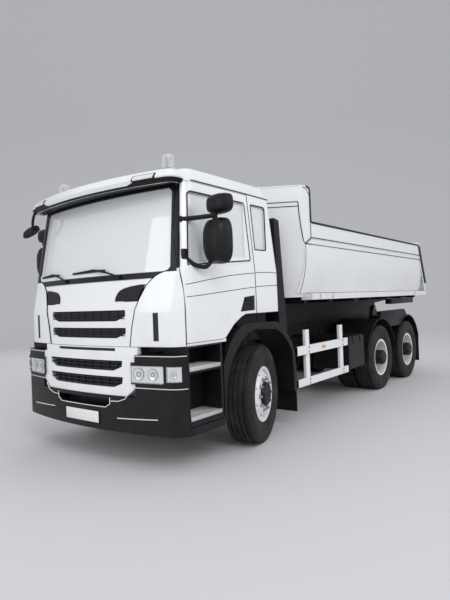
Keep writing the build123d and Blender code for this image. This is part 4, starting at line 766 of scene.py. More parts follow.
holder.done("plate_holder", moulding, "chassis", slot="plastic_black")

back, glass, bowls, bezels = Shape(), Shape(), Shape(), Shape()
for s in (1, -1):
    band(bezels, lambda _: nose(-0.002), *span(s, 1.222, 0.690), [0.812, 0.828, 0.930, 0.985, 1.014], 0.004, 40)
    for y0, y1, z0, z1 in ((0.704, 1.058, 0.828, 0.985), (1.096, 1.207, 0.845, 0.982)):
        band(back, lambda _: nose(-0.0045), *span(s, y1, y0), [z0, (z0 + z1) / 2, z1], 0.003, 20)
        band(glass, lambda _: nose(-0.014), *span(s, y1 + 0.002, y0 - 0.004),
             [z0 - 0.002, z0 + 0.05, z1 - 0.05, z1 + 0.002], 0.003, 20)
        for z in (z0, z1):
            bezels.tube([(p.x, p.y, z) for p in stretch(nose(-0.010), *span(s, y1, y0), 20)], 0.005, 8)
    for y, r in ((0.790, 0.062), (0.945, 0.056), (1.150, 0.036)):
        at = stretch(nose(-0.006), s * y + 0.004, s * y - 0.004, 1)[0]
        low = stretch(nose(-0.006), s * y + 0.040, s * y - 0.040, 1)
        aim = Vector((low[0].y - low[1].y, low[1].x - low[0].x, 0)).normalized()
        base = Vector((at.x, s * y, 0.908))
        bezels.turned([(0.0, r * 0.90), (0.0, r), (0.006, r), (0.006, r * 0.90)], base, aim, 36)
        bezels.turned([(0.0, r * 0.30), (0.0, r * 0.42), (0.005, r * 0.42), (0.005, r * 0.30)], base, aim, 24)
        bowls.turned([(-0.001, r * 0.44), (-0.001, r * 0.88), (0.006, r * 0.88), (0.002, r * 0.44)], base, aim, 36)
        bowls.turned([(0.0, 0), (0.0, r * 0.26), (0.005, r * 0.2), (0.006, 0)], base, aim, 20)
bezels.done("lamp_bezels", moulding, "chassis", slot="lamp_clear")
back.done("lamp_backs", bright, "chassis", "headlamps", slot="lamp_clear")
bowls.done("lamp_bowls", bright, "chassis", slot="lamp_clear")
glass.done("lamp_glasses", lens, "chassis", slot="lamp_clear")

# ------------------------------------------------ entry steps and front mudguards
# Moulded step wells with bright ribbed treads, and bent mudguards with a
# rolled outer lip, hung on stays from the frame rails.
tread_metal = Finish("ribbed step metal", (0.62, 0.62, 0.63), 0.36, Metallic=0.7).grain(260, 3, 0.0005, 0.5)
eased("step_wells", moulding, 0.006, 3)
eased("front_arches", moulding, 0.008, 3)
treads = Shape()
for s in (1, -1):
    for z in (0.5105, 0.957):
        treads.beside(s, (AXLE + 0.732, 0.992, z), (AXLE + 1.168, 1.226, z + 0.005), 0.0015)
        for k in range(9):
            y = s * (1.005 + 0.026 * k)
            treads.box((AXLE + 0.742, y - 0.004, z + 0.004), (AXLE + 1.158, y + 0.004, z + 0.009), 0.001, 1)
        treads.beside(s, (AXLE + 0.728, 1.226, z - 0.030), (AXLE + 1.172, 1.240, z + 0.008), 0.003)
treads.done("step_treads", tread_metal, "chassis", slot="plastic_black")

# ------------------------------------------------ cab
# Welded steel cab in white paint with a bolted front panel, two corner
# panels and two doors, each with a dark shut line. Black windscreen
# surround, rubber seals, drip rails and pressed crease lines along the sides,
# with painted shadow lines beside them.
# height, then front, half width, bow and corner radius of the plan there
CAB_LEVELS = ((1.151, 1.372, 1.212, 0.150, 0.180), (1.500, 1.372, 1.212, 0.150, 0.180),
              (1.851, 1.294, 1.208, 0.150, 0.140), (2.690, 1.142, 1.128, 0.115, 0.110),
              (2.826, 1.052, 1.082, 0.110, 0.100))
CAB_REAR = -0.458
seal_and_shade_black = Finish("rubber seal", (0.012, 0.012, 0.013), 0.6).grain(500, 2, 0.0002, 0.3)
shut_and_shadow_line = Finish("shut and painted shadow line", (0.006, 0.006, 0.007), 0.8, Specular_IOR_Level=0.1).grain(300, 2, 0.0002, 0.3)
gloss_black = Finish("gloss black surround", (0.006, 0.006, 0.007), 0.28, Specular_IOR_Level=0.25)
gloss_black.grain(60, 2, 0.0001, 0.2)


def cab_plan(z, inset=0.0):
    """The cab's outer plan line at a height."""
    for low, high in zip(CAB_LEVELS, CAB_LEVELS[1:]):
        if z <= high[0] or high is CAB_LEVELS[-1]:
            t = (z - low[0]) / (high[0] - low[0])
            front, half, bow, radius = (a + t * (b - a) for a, b in zip(low[1:], high[1:]))
            return bowed(AXLE + front - inset, half - inset, bow, radius - inset, AXLE + CAB_REAR)


def side_y(x, z):
    """Half width of the cab's side at a place."""
    line = cab_plan(z)
    for (xa, ya), (xb, yb) in zip(line, line[1:]):
        if xa <= x <= xb:
            return ya + (yb - ya) * (x - xa) / max(xb - xa, 1e-9)
    return line[0][1]


def face_x(y, z, inset=0.0):
    """Where the cab's front stands at a width and a height."""
    line = cab_plan(z, inset)
    for (xa, ya), (xb, yb) in zip(line[1:], line[2:]):
        if yb <= y <= ya:
            return xa + (xb - xa) * (y - ya) / min(yb - ya, -1e-9)
    return line[1][0]


def filled(points, steps):
    """Points on a plane with each stretch between them cut into steps."""
    return [(ua + (ub - ua) * k / steps, va + (vb - va) * k / steps)
            for (ua, va), (ub, vb) in zip(points, points[1:]) for k in range(steps)] + points[-1:]


def on_side(points, s, lift, steps=6):
    """Points (x from the axle, z) laid on the cab's side, filled in between."""
    return [(AXLE + x, s * (side_y(AXLE + x, z) + lift), z) for x, z in filled(points, steps)]


for node in ("cab_shell", "front_panel", "corner_panels", "door_left", "door_right"):
    eased(node, white, 0.004, 2)

mesh = Shape()
band(mesh, lambda z: cab_plan(z, 0.024), 0.99, -0.99, [1.200, 1.300, 1.400, 1.500, 1.600, 1.715], 0.003, 40)
for z in (1.255, 1.280, 1.305, 1.418, 1.445, 1.472):
    band(mesh, lambda _: cab_plan(z, 0.010), 0.585, -0.585, [z - 0.004, z + 0.004], 0.014, 30)
for k in range(9):
    y = -0.48 + 0.12 * k
    for z0, z1 in ((1.232, 1.327), (1.395, 1.496)):
        x = face_x(y, (z0 + z1) / 2, 0.014)
        mesh.box((x - 0.012, y - 0.003, z0), (x, y + 0.003, z1), 0)
for s in (1, -1):
    band(mesh, lambda z: cab_plan(z, -0.0006), *span(s, 0.980, 0.905), [1.200, 1.470], 0.002, 6)
mesh.done("panel_mesh", mesh_black, "chassis", slot="paint_white")

# (height, width) up the joint between the front panel and a corner panel
ARC = ((1.152, 0.642), (1.170, 0.647), (1.320, 0.670), (1.500, 0.716), (1.580, 0.744), (1.650, 0.776),
       (1.720, 0.812), (1.760, 0.850), (1.800, 0.896), (1.825, 0.944), (1.843, 1.000), (1.857, 1.060),
       (1.862, 1.098))
PAST_SIDE = 1.3                  # a width wider than the cab, so a sheet ends at its own rear edge


def arc_y(z):
    """Inner edge of a corner panel, which curves up to the foot of the pillar."""
    for (za, ya), (zb, yb) in zip(ARC, ARC[1:]):
        if z <= zb:
            return ya + (yb - ya) * (z - za) / (zb - za)
    return ARC[-1][1]


def cover(shape, s, edges, lift, steps, x_low=None, thickness=0.003):
    """A sheet on side s of the cab's front: height, outer width, inner width."""
    shape.skin(outward([[(p.x, s * p.y, z) for p in stretch(cab_plan(z, -lift), outer, inner, steps, x_low)]
                        for z, outer, inner in edges], s), thickness)


corners, ducts = Shape(), Shape()
SLOT_HEIGHTS = (1.205, 1.320, 1.400, 1.465)  # beside the slot down each corner
# height, outer width and inner width of the cover over each air duct
DUCT = ((1.582, 0.728, 0.448), (1.620, 0.744, 0.452), (1.660, 0.762, 0.468), (1.685, 0.774, 0.492),
        (1.705, 0.785, 0.545), (1.720, 0.797, 0.625), (1.732, 0.806, 0.735))
for s in (1, -1):
    for edges, steps in (([(z, PAST_SIDE, arc_y(z)) for z in (1.153, 1.180, 1.205)], 20),
                         ([(z, PAST_SIDE, 0.972) for z in SLOT_HEIGHTS], 12),
                         ([(z, 0.917, arc_y(z)) for z in SLOT_HEIGHTS], 8),
                         ([(z, PAST_SIDE, arc_y(z)) for z in (1.465, 1.500, *(z for z, y in ARC[4:]))], 20)):
        cover(corners, s, edges, 0.003, steps, AXLE + 1.158)
    cover(ducts, s, DUCT, 0.0025, 10, AXLE + 1.158)
corners.done("corner_skins", white, "chassis", slot="paint_white")
ducts.done("duct_covers", moulding, "chassis", slot="plastic_black")


def pillar_y(z):
    """Where the windscreen's surround meets the strip on the door."""
    return max(1.120 - 0.178 * (z - 1.876), 1.085 - 0.0246 * (z - 1.0))


def pane_y(z):
    """Half width of the windscreen's opening, narrower at its rounded ends."""
    return 1.020 if z < 1.85 else 0.970 if z > 2.61 else 1.056 - 0.046 * (z - 1.880) / 0.720


surround = Shape()
heights = [1.838, 1.880] + [1.880 + (2.600 - 1.880) * k / 8 for k in range(1, 9)] + [2.640]
for s in (1, -1):
    cover(surround, s, [(z, pillar_y(z), pane_y(z)) for z in heights], 0.0042, 14, thickness=0.004)
    # a strip behind closes the joint to the door
    cover(surround, s, [(z, pillar_y(z) + 0.012, pillar_y(z) - 0.010) for z in heights], 0.0010, 4, thickness=0.002)
band(surround, lambda z: cab_plan(z, -0.0015), 1.085, -1.085, [1.786, 1.812, 1.839], 0.004, 40)
band(surround, lambda z: cab_plan(z, -0.0015), 1.045, -1.045, [2.638, 2.655, 2.688, 2.720], 0.004, 36)
surround.done("windscreen_surround", gloss_black, "chassis", slot="paint_white")

gaskets = Shape()
pane = [(1.020, 1.838), (1.056, 1.880), (1.010, 2.600), (0.970, 2.640)]
pane = pane + [(-y, z) for y, z in reversed(pane)]
loop = []
for (ya, za), (yb, zb) in zip(pane, pane[1:] + pane[:1]):
    n = 14 if abs(yb - ya) > 0.5 else 5
    loop += [(ya + (yb - ya) * k / n, za + (zb - za) * k / n) for k in range(n)]
gaskets.tube([(face_x(y, z) - 0.001, y, z) for y, z in loop + loop[:1]], 0.008, 8)
for s in (1, -1):
    gaskets.tube(on_side([(-0.008, 2.095), (-0.018, 2.592), (-0.273, 2.592), (-0.293, 2.565), (-0.228, 2.095),
                          (-0.008, 2.095)], s, -0.001, 5), 0.007, 8)
gaskets.done("window_gaskets", seal_and_shade_black, "chassis", slot="paint_white")

lines = Shape()
for s in (1, -1):
    lines.tube(on_side([(1.156, 1.160), (1.156, 1.851)], s, -0.001, 8), 0.0055, 6)
    lines.tube([(face_x(s * y, z) + 0.004, s * y, z) for z, y in ARC], 0.0062, 6)
    # Fold lines on the corner panels, two of them running on into the doors' crease lines: painted shadow lines.
    for points in ([(0.985, 1.632), (1.032, 1.670), (1.091, 1.702), (1.150, 1.722)],
                   [(1.050, 1.588), (1.100, 1.596), (1.150, 1.602)],
                   [(1.125, 1.552), (1.160, 1.550), (1.183, 1.510), (1.190, 1.430)]):
        lines.tube([(face_x(s * y, z) + 0.003, s * y, z) for y, z in filled(points, 5)], 0.0032, 6)
lines.done("panel_joints", shut_and_shadow_line, "chassis", slot="paint_white")

rails, joints_and_shadow_lines = Shape(), Shape()
for s in (1, -1):
    rails.tube(on_side([(1.060, 2.712), (0.7, 2.712), (0.2, 2.712), (-0.10, 2.710), (-0.385, 2.704)], s, 0.006, 3),
               0.008, 8)
    joints_and_shadow_lines.tube(on_side([(1.058, 2.700), (0.7, 2.700), (0.2, 2.700), (-0.10, 2.698), (-0.385, 2.692)], s, 0.003, 3),
                0.0045, 6)
    joints_and_shadow_lines.tube(on_side([(0.036, 1.30), (0.036, 2.692)], s, 0.0, 20), 0.0038, 6)
    # The door's crease lines run on along the cab's side as dark tubes: painted shadow lines.
    for points in ([(0.030, 1.842), (-0.20, 1.850), (-0.400, 1.848)],
                   [(0.030, 1.690), (-0.20, 1.700), (-0.430, 1.708)]):
        joints_and_shadow_lines.tube(on_side(points, s, 0.0), 0.0034, 6)
rails.done("drip_rails", white, "chassis", slot="paint_white")
joints_and_shadow_lines.done("side_joints", shut_and_shadow_line, "chassis", slot="paint_white")

for side, s in SIDES:
    body = "door_" + side
    trim = Shape()
    trim.tube(on_side([(1.090, 1.892), (1.000, 2.570), (0.967, 2.592), (0.122, 2.592), (0.102, 2.565),
                       (0.102, 1.985), (0.112, 1.968), (1.090, 1.892)], s, -0.001, 5), 0.0075, 8)
    trim.done("door_seal_" + side, seal_and_shade_black, body, slot="paint_white")
    fold = Shape()
    for points in ([(1.135, 1.716), (0.9, 1.752), (0.5, 1.806), (0.2, 1.832), (0.052, 1.841)],
                   [(1.135, 1.604), (0.9, 1.620), (0.5, 1.655), (0.2, 1.680), (0.052, 1.689)],
                   [(1.08, 1.905), (0.9, 1.900), (0.5, 1.912), (0.2, 1.940), (0.052, 1.962)]):
        fold.tube(on_side(points, s, -0.0025), 0.0055, 8)
    fold.done("door_folds_" + side, white, body, slot="paint_white")
    # Dark tubes just under the white folds are painted shadow lines of the pressed folds.
    crease_shadow_lines = Shape()
    for points in ([(1.13, 1.712), (0.9, 1.748), (0.5, 1.802), (0.2, 1.828), (0.055, 1.837)],
                   [(1.13, 1.600), (0.9, 1.616), (0.5, 1.651), (0.2, 1.676), (0.055, 1.685)]):
        crease_shadow_lines.tube(on_side(points, s, 0.0005), 0.0036, 6)
    crease_shadow_lines.done("door_shadow_" + side, shut_and_shadow_line, body, slot="paint_white")
    pillar = Shape()
    cover(pillar, s, [(z, 1.150 - 0.089 * (z - 1.88), pillar_y(z) + 0.001)
                      for z in (1.872 + (2.672 - 1.872) * k / 11 for k in range(12))], 0.0042, 6)
    pillar.done("door_pillar_" + side, gloss_black, body, slot="paint_white")
    pull = Shape()                                           # recessed pull with its bar and lock
    cup = s * (side_y(AXLE + 0.2, 1.5) - 0.0135)
    pull.slab([(AXLE + x, cup, z) for x, z in ((0.252, 1.582), (0.060, 1.598), (0.060, 1.440), (0.330, 1.432))],
              (0, s * 0.002, 0))
    pull.beside(s, (AXLE + 0.075, 1.200, 1.545), (AXLE + 0.235, 1.214, 1.580), 0.006, 3)
    pull.turned([(0, 0), (0, 0.014), (0.006, 0.013), (0.006, 0)], (AXLE + 0.110, s * 1.199, 1.490), (0, s, 0), 20)
    pull.done("door_pull_" + side, moulding, body, slot="paint_white")

# ------------------------------------------------ windows
# Laminated glass, let into the seals, its colour made pale and nearly
# opaque as a painted reflection. A strip at the windscreen's foot
# carries the glass down to its lower corners.
glass_with_painted_reflection = Finish("pale glass", (0.90, 0.92, 0.93), 0.04, Alpha=0.78, Coat_Weight=1.0, Specular_IOR_Level=0.7)
glass_with_painted_reflection.grain(3, 1, 0.0006, 0.05)
coat(glass_with_painted_reflection, "cab_glass", "door_glass_left", "door_glass_right")
foot = Shape()
band(foot, lambda z: cab_plan(z, -0.0008), 1.056, -1.056, [1.838, 1.860, 1.880], 0.002, 40)
for s in (1, -1):
    cover(foot, s, ((1.880, 1.055, 1.000), (1.924, 1.055, 1.046)), 0.0008, 6, thickness=0.002)
foot.done("windscreen_foot", glass_with_painted_reflection, "chassis", slot="paint_white")

# ------------------------------------------------ sun visor, beacons, wipers and mirrors
# A white visor with a black underside and two marker lamps, clear ribbed
# beacons, two wipers, and black moulded mirrors on tube arms.
eased("sun_visor", white, 0.008, 3)
VISOR_END, VISOR_BREAK = 1.2, 2.705          # a width past its ends, the height where its face folds back


def visor_face(z, lift):
    """The visor's outer face at a height."""
    inset = (0.030 * (VISOR_BREAK - z) / 0.050 if z < VISOR_BREAK else 0.040 * (z - VISOR_BREAK) / 0.070) - lift
    return bowed(AXLE + 1.372 - inset, 1.150 - inset, 0.150, 0.110 - min(inset, 0.10), AXLE + 1.062)


def on_visor(shape, s, lift, edges, steps):
    """A sheet on side s of the visor's face: height, outer width, inner width."""
    shape.skin(outward([[(p.x, s * p.y, z) for p in stretch(visor_face(z, lift), outer, inner, steps)]
                        for z, outer, inner in edges], s), 0.003)


under = Shape()
front = stretch(visor_face(2.655, -0.002), VISOR_END, -VISOR_END, 48)
under.skin([[(p.x, p.y, 2.654) for p in front],
            [(face_x(p.y * 0.95, 2.668) - 0.012, p.y * 0.95, 2.664) for p in front]], 0.004)
band(under, lambda z: visor_face(z, 0.0015), VISOR_END, -VISOR_END, (2.6545, 2.668), 0.003, 48)
marks, holders = Shape(), Shape()
for s in (1, -1):
    on_visor(under, s, 0.0020, ((2.667, VISOR_END, 0.640), (2.680, VISOR_END, 0.690), (2.692, VISOR_END, 0.740)), 16)
    on_visor(under, s, 0.0022, [(z, 0.978, 0.712) for z in (2.690, VISOR_BREAK, 2.746)], 10)
    on_visor(holders, s, 0.0050, [(z, 0.962, 0.732) for z in (2.699, VISOR_BREAK, 2.738)], 10)
    on_visor(marks, s, 0.0110, [(z, 0.964, 0.730) for z in (2.697, VISOR_BREAK, 2.740)], 10)
under.done("visor_underside", moulding, "chassis", slot="paint_white")
holders.done("marker_backs", plate_and_highlight_white, "chassis", slot="paint_white")
marks.done("marker_lamps", lens, "chassis", slot="paint_white")

beacon_glass = Finish("clear beacon lens", (0.88, 0.88, 0.86), 0.08, Alpha=0.34, Coat_Weight=1.0)
beacon_glass.bump(beacon_glass.node("TexWave", {"wave_type": "BANDS", "bands_direction": "Z"},
                                    beacon_glass.place(), Scale=40.0, Distortion=0.0), 0.003, 0.4)
domes, cores = Shape(), Shape()
for s in (1, -1):
    at = (AXLE + 0.950, s * 0.856, 2.826)
    cores.turned([(0.0005, 0), (0.0005, 0.064), (0.018, 0.064), (0.026, 0.056), (0.026, 0)], at, UP, 40)
    cores.turned([(0.025, 0), (0.025, 0.022), (0.125, 0.018), (0.125, 0)], at, UP, 24)
    cores.skin([[(at[0] + 0.010, at[1] - 0.032 + 0.008 * k, z + 2.826) for k in range(9)] for z in (0.05, 0.12)], 0.003)
    domes.turned([(0.0255, 0.056), (0.0255, 0.060), (0.140, 0.059), (0.156, 0.052), (0.168, 0.038), (0.174, 0.020),
                  (0.176, 0), (0.172, 0), (0.170, 0.018), (0.164, 0.035), (0.153, 0.048), (0.138, 0.055)],
                 at, UP, 48)
    cores.turned([(0.126, 0), (0.126, 0.040), (0.131, 0.040), (0.131, 0)], at, UP, 32)
cores.done("beacon_bases", hub_black, "chassis", slot="beacon_amber")
domes.done("beacon_domes", beacon_glass, "chassis", "beacons", slot="beacon_amber")


def on_glass(y, z, stand):
    """A point standing off the windscreen."""
    return face_x(y, z) + stand, y, z


arms = Shape()
for y, reach in ((-0.380, 0.60), (0.470, 0.74)):
    arms.turned([(-0.030, 0), (-0.030, 0.020), (0.026, 0.020), (0.034, 0.014), (0.034, 0)],
                on_glass(y, 1.822, 0), (1, 0, 0.1), 20)
    for radius, points in ((0.0095, ((0, 1.822, 0.026), (0.22, 1.872, 0.032), (0.52, 1.912, 0.024))),
                           (0.0065, ((0.30, 1.898, 0.018), (0.52, 1.912, 0.016), (1.0, 1.896, 0.010)))):
        arms.tube([on_glass(y - along * reach, z, stand) for along, z, stand in points], radius, 8)
    arms.skin([[on_glass(y - (0.28 + 0.06 * k) * reach, z - 0.0006 * k, 0.007) for k in range(13)]
               for z in (1.888, 1.906)], 0.005)
arms.done("wiper_arms", moulding, "chassis", "wipers", slot="plastic_black")


def rounded(middle, across, upward, half_w, half_h, power):
    """A rounded frame's outline, square for a large power and round for 2."""
    ring = []
    for a in turns(36):
        c, d = (abs(v) ** (2 / power) * (1 if v > 0 else -1) for v in (cos(a), sin(a)))
        ring.append(middle + across * (half_w * c) + upward * (half_h * d))
    return ring


def housing(shape, middle, across, upward, half_w, half_h, back, depth, power=3.2):
    """A mirror housing: a rounded frame that swells towards its back."""
    middle, across, upward, back = (Vector(v) for v in (middle, across, upward, back))
    rows = [rounded(middle + back * (depth * t), across, upward, half_w * grow, half_h * grow, power)
            for t, grow in ((0.0, 0.94), (0.04, 1.0), (0.35, 0.99), (0.70, 0.90), (0.92, 0.68), (1.0, 0.42))]
    m = len(rows[0])
    faces = [(i * m + k, i * m + (k + 1) % m, (i + 1) * m + (k + 1) % m, (i + 1) * m + k)
             for i in range(len(rows) - 1) for k in range(m)]
    faces += [tuple(range(m)), tuple((len(rows) - 1) * m + k for k in reversed(range(m)))]
    shape.solid([p for r in rows for p in r], faces)


silver = Finish("mirror glass", (0.75, 0.77, 0.79), 0.03, Metallic=1.0).grain(2, 1, 0.0002, 0.05)
for side, s in SIDES:
    body = "door_" + side
    cases, faces = Shape(), Shape()
    across, back = Vector((0.16, s * 0.987, 0)).normalized(), Vector((0.987, -s * 0.16, 0)).normalized()
    for middle, half_w, half_h, deep in ((Vector((AXLE + 0.806, s * 1.378, 2.110)), 0.146, 0.214, 0.170),
                                         (Vector((AXLE + 0.801, s * 1.393, 2.4525)), 0.146, 0.092, 0.130)):
        housing(cases, middle, across, UP, half_w, half_h, back, deep)
        faces.slab(rounded(middle, across, UP, half_w * 0.93 * 0.94, half_h * 0.95 * 0.94, 3.2), back * -0.0025)
    cases.box((AXLE + 0.852, s * 1.350 - 0.022, 2.285), (AXLE + 0.892, s * 1.350 + 0.022, 2.400), 0.010, 3)
    cases.tube([(AXLE + 1.080, s * 1.098, 2.318), (AXLE + 0.97, s * 1.23, 2.330), (AXLE + 0.880, s * 1.350, 2.345)],
               0.022, 14)
    cases.tube([(AXLE + 1.098, s * 1.150, 1.975), (AXLE + 1.045, s * 1.215, 1.890), (AXLE + 0.930, s * 1.275, 1.862),
                (AXLE + 0.892, s * 1.300, 1.925)], 0.021, 14)
    cases.box((AXLE + 1.062, s * 1.160 - 0.024, 1.945), (AXLE + 1.128, s * 1.160 + 0.022, 2.040), 0.012, 3)
    cases.box((AXLE + 1.046, s * 1.112 - 0.030, 2.288), (AXLE + 1.088, s * 1.112 + 0.012, 2.348), 0.008, 3)
    cases.done("mirror_cases_" + side, moulding, body, "mirror_" + side, slot="plastic_black")
    faces.done("mirror_faces_" + side, silver, body, slot="plastic_black")
kerb = Shape()
housing(kerb, (AXLE + 1.175, -1.215, 2.445), (0.15, -0.960, -0.25), (0.05, -0.25, 0.97), 0.150, 0.042,
        (0.3, 0, 0.95), 0.045, 2.2)
kerb.tube([(AXLE + 1.215, -1.040, 2.690), (AXLE + 1.225, -1.10, 2.58), (AXLE + 1.195, -1.150, 2.470)], 0.016, 12)
kerb.done("kerb_mirror", moulding, "chassis", "front_view_mirror", slot="plastic_black")

# ------------------------------------------------ cab interior
# Moulded dashboard with dials and vents, a three-spoke wheel and two
# air-sprung seats in woven cloth with headrests.
dash = Finish("dashboard moulding", (0.10, 0.10, 0.105), 0.62).grain(700, 3, 0.0005, 0.6)
cloth = Finish("seat cloth", (0.09, 0.10, 0.12), 0.95)
weave = cloth.node("TexWave", {"wave_type": "BANDS", "bands_direction": "Y"}, cloth.place(),
                   Scale=90.0, Distortion=1.0)
cloth.feed(Base_Color=cloth.stained(weave.within(0.3, 0.7) * 0.5, (0.05, 0.055, 0.07)))
cloth.bump(weave, 0.001, 0.5)
dial = Finish("dial face", (0.03, 0.03, 0.035), 0.3, Coat_Weight=0.8).grain(100, 2, 0.0001, 0.1)
eased("dashboard", dash, 0.012, 3)
eased("steering_wheel", dash, 0.004, 2)
seats = Shape()
for s in (1, -1):
    y = s * 0.560
    seats.box((AXLE - 0.050, y - 0.240, 1.645), (AXLE + 0.420, y + 0.240, 1.770), 0.045, 4)
    for e in (-1, 1):
        seats.box((AXLE - 0.030, y + e * 0.190 - 0.048, 1.690), (AXLE + 0.400, y + e * 0.190 + 0.048, 1.795), 0.030, 3)
    for half, ease, outline in (        # backrest, then headrest
            (0.220, 0.030, ((-0.060, 1.765), (0.050, 1.765), (-0.040, 2.300), (-0.135, 2.300))),
            (0.130, 0.028, ((-0.120, 2.315), (-0.045, 2.315), (-0.062, 2.440), (-0.140, 2.440)))):
        seats.slab([(AXLE + x, y - half, z) for x, z in outline], (0, 2 * half, 0), ease, 3)
    seats.box((AXLE + 0.010, y - 0.175, 1.470), (AXLE + 0.330, y + 0.175, 1.640), 0.02, 3)
    for e in (-1, 1):
        seats.tube([(AXLE - 0.088, y + e * 0.06, 2.28), (AXLE - 0.093, y + e * 0.06, 2.34)], 0.007, 8)
seats.done("seat_covers", cloth, "chassis", "seats", slot="seat_cloth")
gauges = Shape()
for y, r in ((0.48, 0.062), (0.64, 0.062), (0.56, 0.036)):
    gauges.turned([(0, 0), (0, r), (0.008, r), (0.008, r * 0.9), (0.004, r * 0.88), (0.004, 0)],
                  (AXLE + 0.905, y, 1.789), (-0.378, 0, 0.926), 32)
for y in (-0.85, -0.60, -0.10, 0.15, 0.85):
    gauges.box((AXLE + 0.840, y - 0.06, 1.700), (AXLE + 0.862, y + 0.06, 1.742), 0.004)
gauges.done("dials_and_vents", dial, "chassis", slot="dash_grey")

# ------------------------------------------------ side guards, tank and boxes
# White box-section guard rails on black uprights, an alloy tank under two
# straps, a moulded battery box with a latched lid, and the air intake.
alloy = Finish("tank alloy", (0.58, 0.59, 0.60), 0.36, Metallic=0.9).grain(30, 3, 0.0006, 0.3)
guards = eased("side_guards", white, 0.006, 3)
guards.data.materials.append(chassis_paint.mat)
for face in guards.data.polygons:
    face.material_index = int(abs(face.center.y) < 1.150)
eased("fuel_tank", alloy, 0.006, 2)
eased("battery_box", moulding, 0.008, 3)
eased("intake_stack", moulding, 0.012, 3)
caps = Shape()
for s in (1, -1):
    for x0, x1 in ((-2.268, -2.262), (-0.806, -0.800)):
        for z0, z1 in ((0.463, 0.554), (0.849, 0.956)):
            caps.beside(s, (AXLE + x0, 1.190, z0), (AXLE + x1, 1.216, z1), 0.002)
for z in (2.02 + 0.036 * k for k in range(12)):              # louvres of the air intake
    caps.slab([(AXLE + x, 1.152, z + dz) for x, dz in ((-0.585, 0), (-0.505, 0.004), (-0.505, 0.016), (-0.585, 0.012))],
              (0, -0.004, 0), 0.001)
caps.box((AXLE - 2.855, 0.700, 0.958), (AXLE - 2.325, 1.205, 0.966), 0.003)
for x in (-2.72, -2.46):
    caps.box((AXLE + x - 0.020, 1.209, 0.900), (AXLE + x + 0.020, 1.219, 0.955), 0.003)
    caps.tube([(AXLE + x, 1.219, 0.905), (AXLE + x, 1.224, 0.870), (AXLE + x, 1.216, 0.850)], 0.005, 8)
caps.done("guard_caps", moulding, "chassis", slot="plastic_black")
straps = Shape()
ring = []                                                    # round the tank's four corners
for cy, cz, a0 in ((-0.630, 0.870, 0), (-1.050, 0.870, 90), (-1.050, 0.550, 180), (-0.630, 0.550, 270)):
    ring += [(cy + 0.074 * cos(a), cz + 0.074 * sin(a)) for a in (radians(a0 + 18 * k) for k in range(6))]
for x in (-1.92, -1.23):
    straps.skin([[(AXLE + x + dx, y, z) for y, z in ring] for dx in (0.0, 0.055)], -0.004, around=True)
straps.turned([(0, 0), (0, 0.052), (0.030, 0.052), (0.036, 0.046), (0.036, 0)],
              (AXLE - 1.12, -1.05, 0.925), (0, -0.5, 0.866), 28)
straps.done("tank_straps", chassis_paint, "chassis", slot="frame_black")
rivets = [((AXLE + x, s * 1.2175, z), (0, s, 0), (1, 0, 0))
          for s in (1, -1) for x in (-1.100, -2.095) for z in (0.485, 0.530, 0.872, 0.932)]
copies("guard_bolts", hex_bolt(0.018, 0.009), rivets, nut_steel, "chassis")

# ------------------------------------------------ rear mudguards, underrun bar and lamps
# Rolled mudguards on stays with a panel between each pair, rubber flaps, a
# box-section underrun bar and lamp clusters with red and amber lenses.
eased("rear_mudguards", moulding, 0.003, 2)
eased("underrun_bar", chassis_paint, 0.008, 3)
red = Finish("red lamp lens", (0.45, 0.012, 0.012), 0.12, Coat_Weight=0.9)
red.bump(red.node("TexWave", {"wave_type": "BANDS", "bands_direction": "Z"}, red.place(), Scale=60.0), 0.001, 0.5)
amber = Finish("amber lamp lens", (0.75, 0.26, 0.02), 0.12, Coat_Weight=0.9).grain(200, 1, 0.0006, 0.4)
eased("tail_lamps", moulding, 0.006, 2)
reds, ambers = Shape(), Shape()
for s in (1, -1):
    for k in range(5):
        y = 0.770 + 0.073 * k
        (ambers if k == 4 else reds).beside(s, (AXLE - 5.762, y, 0.622), (AXLE - 5.752, y + 0.068, 0.728), 0.004)
    ambers.beside(s, (AXLE - 1.545, 1.212, 0.885), (AXLE - 1.455, 1.224, 0.920), 0.003)
reds.done("red_lenses", red, "chassis", slot="lamp_red")
ambers.done("amber_lenses", amber, "chassis", slot="lamp_red")
lips, infill = Shape(), Shape()
GUARD_R = 0.640                              # outer radius of a rear mudguard
low = asin(0.180 / GUARD_R)
for x in REAR_AXLES:
    for s in (1, -1):
        lips.tube([(x + GUARD_R * cos(a), s * 1.224, HUB_Z + GUARD_R * sin(a))
                   for a in (low + (pi - 2 * low) * k / 30 for k in range(31))], 0.009, 8)
lips.done("mudguard_lips", moulding, "chassis", slot="plastic_black")
for s in (1, -1):
    infill.slab([(AXLE + x, s * 1.152, z) for x, z in (
        (-3.600, 1.164), (-3.820, 1.128), (-4.030, 1.004), (-4.540, 1.004), (-4.750, 1.128), (-4.950, 1.164),
        (-4.820, 1.280), (-3.620, 1.280))], (0, s * 0.068, 0), 0.004)
infill.done("mudguard_infill", moulding, "chassis", slot="plastic_black")

